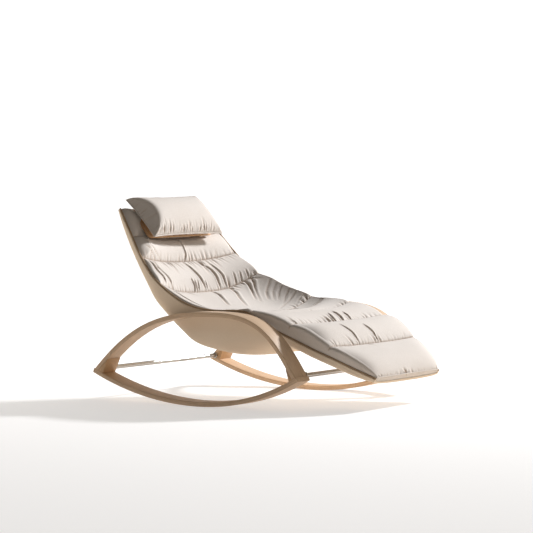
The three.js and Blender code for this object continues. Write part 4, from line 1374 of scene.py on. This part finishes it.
def edge_sizes(st, reach, far):
    """The edge's height, how far it is turned in and how high it is rolled."""
    height = edge_rise(st, far) + puff_at(st["row"], np.ones_like(reach), far)
    height = np.maximum(height, PIPING_RADIUS * 2)
    back, leg = 1 - past(st, BACK_UNTIL), past(st, LEG_FROM)
    near_seat = past(st, SEAT_FROM) * until(st, SEAT_UNTIL) * (1 - far)
    turn = mix(mix(TURN_SHARE["plain"], TURN_SHARE["near_seat"], near_seat), TURN_SHARE["leg"], leg)
    turn_limit = mix(*TURN_LIMIT_SHARES, back) * height
    turn_in = np.minimum(mix(turn, TURN_SHARE["back"], back) * reach, turn_limit)
    roll = mix(mix(*ROLL_SHARES, back) * height, np.minimum(LEG_ROLL, LEG_ROLL_SHARE * height), leg)
    return height, turn_in, roll


def side_loop(st, reach, far):
    """Places across and heights, from the middle of the top round to the middle below."""
    height, turn_in, roll = edge_sizes(st, reach, far)
    top_share = (reach - turn_in) / reach
    crest = mix(mix(top_share, 1.0, CREST_BACK), top_share, 1 - far)
    top_wide = np.sin(np.linspace(0, 1, TOP_STEPS)[None] * SPREAD) / math.sin(SPREAD) * top_share
    top_q = pad_top(st, top_wide, mix(0.5, far, smooth_step(top_wide * 2)), crest)
    edge_q = np.maximum(top_q[:, -1:], LEAST_EDGE)
    drop = np.maximum(np.minimum(roll, edge_q - LEAST_WALL), LEAST_ROLL)
    bulge = np.minimum(BULGE, BULGE_SHARE * height)
    over, down = quarter(EDGE_STEPS), quarter(SIDE_STEPS)
    wide, deep = half_section(st, UNDER_STEPS)
    y = [
        top_wide * reach,
        reach - turn_in + (turn_in + bulge) * np.sin(over),
        reach + bulge * np.cos(down),
        (wide * reach)[:, 1:],
    ]
    q = [
        top_q,
        edge_q - drop * (1 - np.cos(over)),
        edge_q - drop - (edge_q - drop - RIM_CLEARANCE) * np.sin(down),
        -(deep * st["pad_depth"])[:, 1:],
    ]
    return np.concatenate(y, 1), np.concatenate(q, 1)


print("a section has", 2 * (TOP_STEPS + EDGE_STEPS + SIDE_STEPS + UNDER_STEPS), "points")

# %% Closed sections
# From this crease depth in millimetres the cloth gets its full painted shade.
FULL_SHADE_DEPTH = 4.2


def mattress_ring(st):
    """The closed loops at some sections, and how deep in a crease each point lies."""
    reach = st["half"] - SHELL_THICKNESS - PAD_GAP
    sides, crease_shades = [], []
    for sign, far in ((1, 1.0), (-1, 0.0)):
        y, q = side_loop(st, reach, far)
        top_count = TOP_STEPS + EDGE_STEPS
        over = sign * y[:, :top_count]
        cut = seam_groove(st["row"]) + gather_height(st["row"], over, reach)
        cut = cut + fold_height(st["row"], over, reach)
        q[:, :top_count] += cut
        # How deep each point lies in a crease, which sets how much painted shade its colour gets.
        crease_shade = np.zeros(y.shape)
        crease_shade[:, :top_count] = np.clip(-cut / FULL_SHADE_DEPTH, 0, 1)
        crease_shades.append(crease_shade)
        sides.append(section_points(st, sign * y, q))
    ring, crease_shade = (np.concatenate([left, right[:, -2:0:-1]], 1) for left, right in (sides, crease_shades))
    return ring, crease_shade


def end_panels(loop):
    """Splits a cushion's end into upright panels, because one face would span the hollow on top."""
    columns, upper = len(loop), TOP_STEPS + EDGE_STEPS + SIDE_STEPS
    across = np.abs(loop[:, 1])
    below = range(upper, columns // 2 + 1)
    over = [int(np.abs(across[:TOP_STEPS] - across[m]).argmin()) for m in below]
    panels = [[*range(over[0], upper + 1)]]
    panels += [[*range(over[k + 1], over[k] + 1), upper + k, upper + k + 1] for k in range(len(over) - 1)]
    return panels + [[(columns - m) % columns for m in panel[::-1]] for panel in panels]


# From this crease depth on, the painted shade in the cloth is full.
print("a crease is fully tucked from a depth of", FULL_SHADE_DEPTH, "mm")

# %% The two cushions
CLOTH_SHARP = 80
EVEN_SHARE = 0.3


def cushion_rows(first, last):
    """Rows of sections from one puff to another, closer together near the seams."""
    rows = []
    for p in range(first, last):
        low = SEAMS[p] + (SPLIT if p == KNEE else 0)
        high = SEAMS[p + 1] - (SPLIT if p + 1 == KNEE else 0)
        steps = np.arange(0 if p == first else 1, PUFF_ROWS[p] + 1) / PUFF_ROWS[p]
        eased_steps = (1 - EVEN_SHARE) / 2 * (1 - np.cos(math.pi * steps))
        rows += list(low + (high - low) * (EVEN_SHARE * steps + eased_steps))
    return rows


def mattress_piece(name, first, last):
    ring, crease_shade = mattress_ring(stations(cushion_rows(first, last)))
    count, columns = ring.shape[:2]
    faces = grid_faces(count, columns, closed=True)
    faces += [panel[::-1] for panel in end_panels(ring[0])]
    faces += [[(count - 1) * columns + k for k in panel] for panel in end_panels(ring[-1])]
    # The crease mask goes on the mesh, where the cloth's colour gets painted shade from it.
    crease_shades = np.repeat(crease_shade.reshape(-1, 1), 3, axis=1)
    return outward(mesh_piece(name, ring.reshape(-1, 3), faces, CLOTH_SHARP, [("crease_shade", crease_shades)]))


CUSHIONS = (("quilted_seat", "seat_cushion", 0, KNEE), ("quilted_legs", "leg_cushion", KNEE, len(PUFFS)))
for name, node, first, last in CUSHIONS:
    cushion = painted(mattress_piece(name, first, last), cream_cloth)
    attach(cushion, "chaise")
    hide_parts(node)
    print(name, len(cushion.data.vertices))

# %% [markdown]
# ### Stitches and the welt at the foot
# Each seam is closed by a row of lock stitches, and a corded welt finishes the mattress's end at the
# foot. A node tree sets one bead of thread after another along a path, so a single tree serves all
# stitches.

# %% Stitch tree
SEAM_STITCH = {"Spacing": 7.0, "Length": 5.0, "Radius": 0.6}


def stitches_along_tree():
    inputs = [(label, NUMBER, size * MM) for label, size in SEAM_STITCH.items()]
    tree, given, end_with = geometry_tree("stitches_along", inputs)
    curve = add_node(tree, "GeometryNodeMeshToCurve", i0=given["Geometry"]).outputs[0]
    apart = {"Curve": curve, "Length": given["Spacing"]}
    spots = add_node(tree, "GeometryNodeCurveToPoints", {"mode": "LENGTH"}, **apart).outputs
    ball = add_node(tree, "GeometryNodeMeshUVSphere", Segments=6, Rings=4, Radius=1.0).outputs["Mesh"]
    size = vector_of(tree, given["Radius"], given["Radius"], times(tree, given["Length"], 0.5))
    bead = add_node(tree, "GeometryNodeTransform", Geometry=ball, Scale=size).outputs[0]
    where = {"Points": spots["Points"], "Rotation": spots["Rotation"]}
    return end_with(add_node(tree, "GeometryNodeInstanceOnPoints", Instance=bead, **where).outputs[0])


stitch_tree = stitches_along_tree()


def stitched(name, paths, stitch):
    piece = baked(name, paths, stitch_tree, thread, **stitch)
    smoothed(piece.data)
    return piece


print("stitch tree has", len(stitch_tree.nodes), "nodes")

# %% Seam stitches
OVER_EDGE = 3
THREAD_LIFT = 0.5


def seam_path(row):
    """The line over the mattress at one row, from the near edge to the far one."""
    ring, _ = mattress_ring(stations([row]))
    over = TOP_STEPS + OVER_EDGE
    return np.concatenate([ring[0][-over:], ring[0][:over]]) + np.array([0, 0, THREAD_LIFT])


inner_seams = [k for k in range(1, len(SEAMS) - 1) if k != KNEE]
seam_thread = stitched("seam_stitches", [seam_path(SEAMS[k]) for k in inner_seams], SEAM_STITCH)
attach(seam_thread, "chaise")
print("stitches on", len(inner_seams), "seams,", len(seam_thread.data.vertices), "points")

# %% Foot welt
WELT_RADIUS, WELT_SIDES, WELT_STEPS, WELT_LIFT, WELT_OUT = 2.2, 8, 40, 9.0, 2.0
foot_st = stations([SEAMS[-1]])
foot_reach = float(foot_st["half"][0, 0]) - SHELL_THICKNESS
foot_y = np.linspace(-foot_reach, foot_reach, WELT_STEPS)[None]
foot_line = section_points(foot_st, foot_y, WELT_LIFT)[0] + np.array([WELT_OUT, 0, 0])
foot_welt = cord_piece("foot_welt", foot_line, WELT_RADIUS, WELT_SIDES, cream_cloth)
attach(foot_welt, "chaise")
print("foot welt", round(2 * foot_reach), "mm long")

# %% [markdown]
# ## Foam bed
# Below the mattress the bucket is filled with shaped foam, which nobody sees. It lies wherever the
# mattress leaves room above the shell, so it is made of the same troughs as both.

# %% Foam
FOAM_FROM, FOAM_TO, FOAM_ROWS, FOAM_STEPS = 3.2, 14.9, 90, 12
FOAM_TRIM, FOAM_LEAST = 5, 6.0


def foam_filling():
    rows = np.linspace(FOAM_FROM, FOAM_TO, FOAM_ROWS)
    st = stations(rows)
    room = st["depth"] - SHELL_THICKNESS - st["pad_depth"] - 3 * PAD_GAP
    st = stations(rows[room[:, 0] > FOAM_LEAST])
    half = st["half"] - SHELL_THICKNESS - 2 * PAD_GAP
    top = trough(st, half, st["pad_depth"] + PAD_GAP, FOAM_STEPS)[:, FOAM_TRIM:-FOAM_TRIM]
    low = trough(st, half, st["depth"] - SHELL_THICKNESS - PAD_GAP, FOAM_STEPS)[:, FOAM_TRIM:-FOAM_TRIM]
    loop = np.concatenate([top, low[:, ::-1]], 1)
    count, columns = loop.shape[:2]
    faces = grid_faces(count, columns, closed=True) + end_faces(count, columns)
    return outward(mesh_piece("foam_filling", loop.reshape(-1, 3), faces, SHELL_SHARP))


foam_piece = painted(foam_filling(), foam_bed)
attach(foam_piece, "chaise")
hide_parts("seat_foam")
print("foam", extent([v.co for v in foam_piece.data.vertices]))

# %% [markdown]
# ## Head pillow and its leather strip
# The pillow is a loose bag of down, sewn from two panels with a corded seam. A strip of tan leather is
# stitched to its back and slides on the mattress.

# %% Places on the back
BACK_ANGLE, PILLOW_ANGLE = 47.5, 40.5
STRIP_WIDTH, STRIP_LENGTH, STRIP_THICKNESS, STRIP_CORNER = 404.0, 168.0, 7.0, 22.0
STRIP_DOWN, STRIP_OFF = 108.0, 15.3
BACK_START = np.array([-HEAD_REACH, 0, HEAD_HEIGHT])
ACROSS = np.array([0, 1, 0])


def slope_axes(degrees):
    """The directions down a slope and off it."""
    c, s = heading(degrees)
    return np.array([c, 0, -s]), np.array([s, 0, c])


DOWN_BACK, OFF_BACK = slope_axes(BACK_ANGLE)


def on_back(down, off):
    return BACK_START + down * DOWN_BACK + off * OFF_BACK


print("the back leans down along", DOWN_BACK.round(3))

# %% [markdown]
# ### The pillow
# The well-filled front falls off to the ends like a slope, with a soft ridge above it. The back is
# flatter and rests on the leather strip. Gathers stand square to all four seams.

# %% Pillow outline and creases
PILLOW_WIDTH, PILLOW_LENGTH, PILLOW_FRONT, PILLOW_BACK = 432.0, 248.0, 69.0, 40.0
PILLOW_DRAW_IN, PILLOW_DOWN, PILLOW_OFF = 9.0, 97.0, 48.0
# The least length and what chance adds, then the narrowest and the widest crease, in millimetres.
GATHER_LENGTH, GATHER_WIDTH = (14, 58), (2.4, 5.0)
GATHER_JITTER, GATHER_SLANT, GATHER_WIDENS = 0.35, 0.04, 0.7
GATHER_LIP, GATHER_POWER, GATHER_START = (0.5, 1.5), 2, 0.1


def pillow_points(x, y, z):
    """From the pillow's own axes, x down it, y across and z out, to the drawing."""
    down, out = slope_axes(PILLOW_ANGLE)
    middle = on_back(PILLOW_DOWN, PILLOW_OFF)
    return middle + x[..., None] * down + y[..., None] * ACROSS + z[..., None] * out


def pillow_outline(a, b):
    """The panels' outline, drawn in a little between the corners; a and b go from -1 to 1."""
    x = a * (PILLOW_LENGTH - 2 * PILLOW_DRAW_IN * (1 - b**2)) / 2
    y = b * (PILLOW_WIDTH - 2 * PILLOW_DRAW_IN * (1 - a**2)) / 2
    return x, y


def pillow_creases(a, b, count, depth):
    """Short gathers square to the seams, deepest just inside them."""
    height = np.zeros(a.shape)
    seams = [(b, 1 + a), (b, 1 - a), (a, 1 - b), (a, 1 + b)]
    for k, (across, inward) in enumerate(seams):
        long_seam = k < 2
        seam, panel = (PILLOW_WIDTH, PILLOW_LENGTH) if long_seam else (PILLOW_LENGTH, PILLOW_WIDTH)
        number = count if long_seam else count // 2
        steps = np.arange(number) + rng.uniform(-GATHER_JITTER, GATHER_JITTER, number)
        for spot in steps / (number - 1) * 2 - 1:
            length = GATHER_LENGTH[0] + GATHER_LENGTH[1] * rng.uniform(0, 1) ** 2
            width = rng.uniform(*GATHER_WIDTH)
            run_on = inward * panel / 2 / length
            fade = smooth_step(run_on / GATHER_START) * np.clip(1 - run_on, 0, 1) ** CREASE_FADES
            aside = (across - spot - rng.normal(0, GATHER_SLANT) * run_on) * seam / 2
            off = aside / (width * (1 + GATHER_WIDENS * run_on))
            relief = lip(off, *GATHER_LIP) + valley(off, GATHER_POWER)
            height += rng.uniform(0, 1) ** 1.4 * depth * fade * relief
    return height


print("the pillow's middle lies at", pillow_points(*np.zeros((3, 1))).round(1))

# %% Pillow
PILLOW_GRID = (110, 250)
EVEN_PLACES = 0.45
BULGE_POWER, CROWN_POWERS = 0.58, (4, 0.85)
END_STEEPNESS, RIDGE_POWER = 1.4, 7
FRONT_CREASES, BACK_CREASES = (36, 7.5), (20, 2.0)


def eased_places(count):
    """Places from -1 to 1, closer together at both ends."""
    drawn_out = -np.cos(math.pi * np.linspace(0, 1, count))
    return mix(drawn_out, np.linspace(-1, 1, count), EVEN_PLACES)


def pillow_shape(a, b):
    """The front, the back and the front's creases, as heights above the seam."""
    bulge = np.clip(1 - a**2, 0, 1) ** BULGE_POWER
    crown = bulge * np.clip(1 - np.abs(b) ** CROWN_POWERS[0], 0, 1) ** CROWN_POWERS[1]
    slope = END_STEEPNESS * (1 - np.abs(b)) * PILLOW_WIDTH / 2 / PILLOW_FRONT
    ridged = bulge * slope / (bulge**RIDGE_POWER + slope**RIDGE_POWER + 1e-12) ** (1 / RIDGE_POWER)
    soft = np.clip(crown * 3, 0, 1)
    cut = pillow_creases(a, b, *FRONT_CREASES) * soft
    back = -PILLOW_BACK * crown + pillow_creases(a, b, *BACK_CREASES) * soft
    return PILLOW_FRONT * ridged + cut, back, cut


def down_pillow():
    a, b = np.meshgrid(*(eased_places(count) for count in PILLOW_GRID), indexing="ij")
    x, y = pillow_outline(a, b)
    front, back, cut = pillow_shape(a, b)
    upper, lower = pillow_points(x, y, front), pillow_points(x, y, back)
    rest = STRIP_OFF + STRIP_THICKNESS + JOINT_GAP
    short = rest - (lower - BACK_START) @ OFF_BACK
    lower += np.maximum(short, 0)[..., None] * OFF_BACK
    inside = np.zeros(PILLOW_GRID, bool)
    inside[1:-1, 1:-1] = True
    points = np.concatenate([upper.reshape(-1, 3), lower[inside]])
    # The front's creases get painted shade in the cloth's colour; the back gets none.
    crease_shades = np.concatenate([np.clip(-cut / FULL_SHADE_DEPTH, 0, 1).reshape(-1), np.zeros(inside.sum())])
    lower_index = np.arange(inside.size).reshape(PILLOW_GRID)
    lower_index[inside] = inside.size + np.arange(inside.sum())
    faces = grid_faces(*PILLOW_GRID)
    faces += [lower_index.reshape(-1)[face[::-1]].tolist() for face in faces]
    crease_shades = np.repeat(crease_shades[:, None], 3, axis=1)
    return outward(mesh_piece("down_pillow", points, faces, attributes=[("crease_shade", crease_shades)]))


pillow = painted(down_pillow(), cream_cloth)
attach(pillow, "headrest")
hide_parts("head_pillow")
print("pillow", len(pillow.data.vertices))

# %% The cord in the pillow's seam
SEAM_CORD_RADIUS, SEAM_CORD_SIDES, SEAM_CORD_STEPS = 2.6, 8, 60
edge, one = np.linspace(-1, 1, SEAM_CORD_STEPS), np.ones(SEAM_CORD_STEPS)
loop_a = np.concatenate([-one, edge, one, -edge])
loop_b = np.concatenate([edge, one, -edge, -one])
loop_x, loop_y = pillow_outline(loop_a, loop_b)
seam_line = pillow_points(loop_x, loop_y, 0 * loop_x)
seam_cord = cord_piece("pillow_cord", seam_line, SEAM_CORD_RADIUS, SEAM_CORD_SIDES, cream_cloth)
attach(seam_cord, "headrest")
print("cord", round(float(np.linalg.norm(np.diff(seam_line, axis=0), axis=1).sum())), "mm long")

# %% [markdown]
# ### The leather strip
# A rectangle with round corners, whose cut edges have been rubbed round. It is built as a stack of
# loops, each drawn in by a little at the top and the bottom.

# %% Leather strip
CORNER_TURNS = 9
RUBBED_INSETS = (1.5, 0.4, 0.0)
RUBBED_HEIGHTS = (0.0, 0.5, 1.5)
LEATHER_SHARP = 40


def strip_outline():
    """Points (down, across) round the strip, one corner after another."""
    outline = []
    for k, (sx, sy) in enumerate(((1, 1), (-1, 1), (-1, -1), (1, -1))):
        x, y = sx * (STRIP_LENGTH / 2 - STRIP_CORNER), sy * (STRIP_WIDTH / 2 - STRIP_CORNER)
        for turn in np.linspace(0, math.pi / 2, CORNER_TURNS) + k * math.pi / 2:
            outline.append((x + STRIP_CORNER * math.cos(turn), y + STRIP_CORNER * math.sin(turn)))
    return np.array(outline)


def strip_loop(outline, inset, height):
    """The outline drawn in towards the middle, at a height above the strip's lower face."""
    drawn_in = outline * (1 - inset / np.linalg.norm(outline, axis=1, keepdims=True))
    return on_back(STRIP_DOWN, STRIP_OFF + height) + drawn_in[:, :1] * DOWN_BACK + drawn_in[:, 1:] * ACROSS


outline = strip_outline()
lower_loops = [strip_loop(outline, *level) for level in zip(RUBBED_INSETS, RUBBED_HEIGHTS)]
upper_levels = [(inset, STRIP_THICKNESS - height) for inset, height in zip(RUBBED_INSETS, RUBBED_HEIGHTS)]
loops = lower_loops + [strip_loop(outline, *level) for level in upper_levels[::-1]]
faces = grid_faces(len(loops), len(outline), closed=True) + end_faces(len(loops), len(outline))
strip = outward(mesh_piece("leather_strip", np.concatenate(loops), faces, LEATHER_SHARP))
painted(strip, tan_leather)
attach(strip, "headrest")
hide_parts("pillow_backing")
print("strip", extent([v.co for v in strip.data.vertices]))

# %% Leather stitching
STITCH_INSET, STITCH_LIFT = 7.0, 0.1
STRIP_STITCH = {"Spacing": 6.0, "Length": 4.4, "Radius": 0.5}
stitch_line = strip_loop(outline, STITCH_INSET, STRIP_THICKNESS + STITCH_LIFT)
stitch_line = np.concatenate([stitch_line, stitch_line[:1]])
strip_thread = stitched("strip_stitches", [stitch_line], STRIP_STITCH)
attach(strip_thread, "headrest")
print("strip stitches", len(strip_thread.data.vertices))

# %% [markdown]
# ## Small hardware
# Bolts with felt washers hold the shell between the arches, in brass inserts, and screws go up through
# the rockers into the corner blocks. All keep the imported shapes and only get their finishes.

# %% Hardware finishes
HARDWARE = {"joint_screw": zinc, "shell_bolt": zinc, "shell_spacer": felt, "threaded_insert": brass}
for name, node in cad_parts.items():
    for start, material in HARDWARE.items():
        if name.startswith(start):
            node.data.materials.clear()
            painted(node, material)
print("finished", sum(name.startswith(tuple(HARDWARE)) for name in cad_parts), "small pieces")

# %% [markdown]
# ## Floor, light and camera
# The chaise stands on a white floor that runs up behind it. The main light comes from behind the far
# side, so the shadow falls to the left, and the cushions' near side walls turn grey. A soft light
# behind the head fills the shell's back.

# %% The view's directions
AZIMUTH, ELEVATION = math.radians(43.575), math.radians(3.748)
RIGHT = np.array([math.cos(AZIMUTH), math.sin(AZIMUTH), 0])
AWAY = np.array([-math.sin(AZIMUTH), math.cos(AZIMUTH), 0])
print("the camera looks along", AWAY.round(3))

# %% [markdown]
# ### White floor
# A sweep of studio paper looks evenly white because it is lit on its own. Here it glows a little for
# the camera, less for the light that reaches the chaise, and more the farther away it lies.

# %% White floor
FLOOR_REACH, FLOOR_RISE, FLOOR_BEND, FLOOR_HALF_WIDTH = 14.0, 9.0, 3.0, 16.0
BEND_STEPS = 16
GLOW_FROM, GLOW_TO, GLOW_NEAR, GLOW_FAR = 0.4, 3.5, 0.5, 1.05
GLOW_FOR_LIGHT = 0.3


def white_floor_material():
    material = material_with(
        "white_floor", None, base=colour(0.9, 0.895, 0.885), Roughness=0.9, Emission_Strength=1.0
    )
    tree = material.node_tree
    shader = tree.nodes["Principled BSDF"]
    depth = along_direction(tree, own_place(tree), AWAY)
    glow = from_range(tree, depth, GLOW_FROM, GLOW_TO, GLOW_NEAR, GLOW_FAR, "SMOOTHSTEP")
    seen = add_node(tree, "ShaderNodeLightPath").outputs["Is Camera Ray"]
    unseen = times(tree, minus(tree, 1.0, seen), GLOW_FOR_LIGHT)
    tree.links.new(plus(tree, times(tree, seen, glow), unseen), shader.inputs["Emission Color"])
    bounce = blend_colours(tree, seen, colour(0.74, 0.64, 0.53), colour(0.6, 0.6, 0.6))
    tree.links.new(bounce, shader.inputs["Base Color"])
    return material


def floor_sweep():
    """A floor that bends up into a wall far behind the chaise."""
    flat_end = FLOOR_REACH - FLOOR_BEND
    bends = np.linspace(0, math.pi / 2, BEND_STEPS)
    profile = [(-FLOOR_REACH, 0.0)]
    profile += [(flat_end + FLOOR_BEND * math.sin(a), FLOOR_BEND * (1 - math.cos(a))) for a in bends]
    profile += [(FLOOR_REACH, FLOOR_RISE)]
    mesh = bpy.data.meshes.new("floor")
    sides = (-FLOOR_HALF_WIDTH, FLOOR_HALF_WIDTH)
    points = [tuple(s * RIGHT + d * AWAY + np.array([0, 0, z])) for d, z in profile for s in sides]
    quads = [[2 * k, 2 * k + 1, 2 * k + 3, 2 * k + 2] for k in range(len(profile) - 1)]
    mesh.from_pydata(points, [], quads)
    smoothed(mesh)
    return in_scene("floor", mesh)


floor = painted(floor_sweep(), white_floor_material())
print("floor faces", len(floor.data.polygons))

# %% [markdown]
# ### Room and lamps
# The room is bright behind the chaise and above it, and dimmer on the camera's side.

# %% Room
BRIGHT_SIDE = Vector((0.3, 0.85, 0.4)).normalized()
ROOM_FROM, ROOM_TO, ROOM_DIM, ROOM_BRIGHT = 0.4, 1.0, 0.035, 0.85


def studio_room():
    world = bpy.data.worlds.new("studio")
    world.use_nodes = True
    tree = world.node_tree
    background = tree.nodes["Background"]
    look = add_node(tree, "ShaderNodeTexCoord").outputs["Generated"]
    facing = along_direction(tree, look, BRIGHT_SIDE)
    level = from_range(tree, facing, ROOM_FROM, ROOM_TO, ROOM_DIM, ROOM_BRIGHT, "SMOOTHSTEP")
    background.inputs["Color"].default_value = colour(1.0, 0.87, 0.73)
    tree.links.new(level, background.inputs["Strength"])
    return world


bpy.context.scene.world = studio_room()
bpy.context.scene.view_settings.view_transform = "Standard"
print("room", bpy.context.scene.world.name)

# %% Lamps


def area_light(name, place, target, size, energy, tint):
    """A rectangular lamp in metres and watts that is turned towards a target."""
    light = in_scene(name, bpy.data.lights.new(name, "AREA"))
    light.data.shape = "RECTANGLE"
    light.data.size, light.data.size_y = size
    light.data.energy = energy
    light.data.color = tint
    light.location = place
    light.rotation_euler = (Vector(target) - light.location).to_track_quat("-Z", "Y").to_euler()
    return light


key_light = area_light("key_light", (1.5, 3.9, 3.3), (0, 0, 0.35), (0.6, 0.5), 350.0, (0.985, 0.985, 1.0))
back_fill = area_light("back_fill", (-3.4, -1.3, 1.1), (0, 0, 0.5), (2.2, 1.6), 42.0, (1.0, 0.94, 0.87))
back_fill.visible_glossy = False  # so the rods keep their dark streaks
print("lamps", key_light.data.energy, "W and", back_fill.data.energy, "W")

# %% [markdown]
# ### Camera
# It stands far off with a long lens, a little above the seat, where the photo was taken from. Its
# place and directions are drawn like the chaise, so they are turned and moved with it.

# %% Camera
EYE = np.array([5557.4, -5724.2, 1100.4])
SENSOR_WIDTH, PHOTO_WIDTH, FOCAL_PIXELS = 36.0, 533, 1800.1
FARTHEST_SEEN = 60.0


def photo_camera():
    camera = in_scene("camera", bpy.data.cameras.new("camera"))
    camera.data.sensor_width = SENSOR_WIDTH
    camera.data.lens = FOCAL_PIXELS / PHOTO_WIDTH * SENSOR_WIDTH
    camera.data.clip_end = FARTHEST_SEEN
    back = -AWAY * math.cos(ELEVATION) + np.array([0, 0, math.sin(ELEVATION)])
    axes = turned_forward(np.array([RIGHT, np.cross(back, RIGHT), back]))
    matrix = Matrix.Identity(4)
    for k in range(3):
        matrix.col[k] = Vector((*axes[k], 0.0))
    matrix.col[3] = Vector((*placed(EYE), 1.0))
    camera.matrix_world = matrix
    return camera


bpy.context.scene.camera = photo_camera()
print("lens", round(bpy.context.scene.camera.data.lens, 1), "mm")
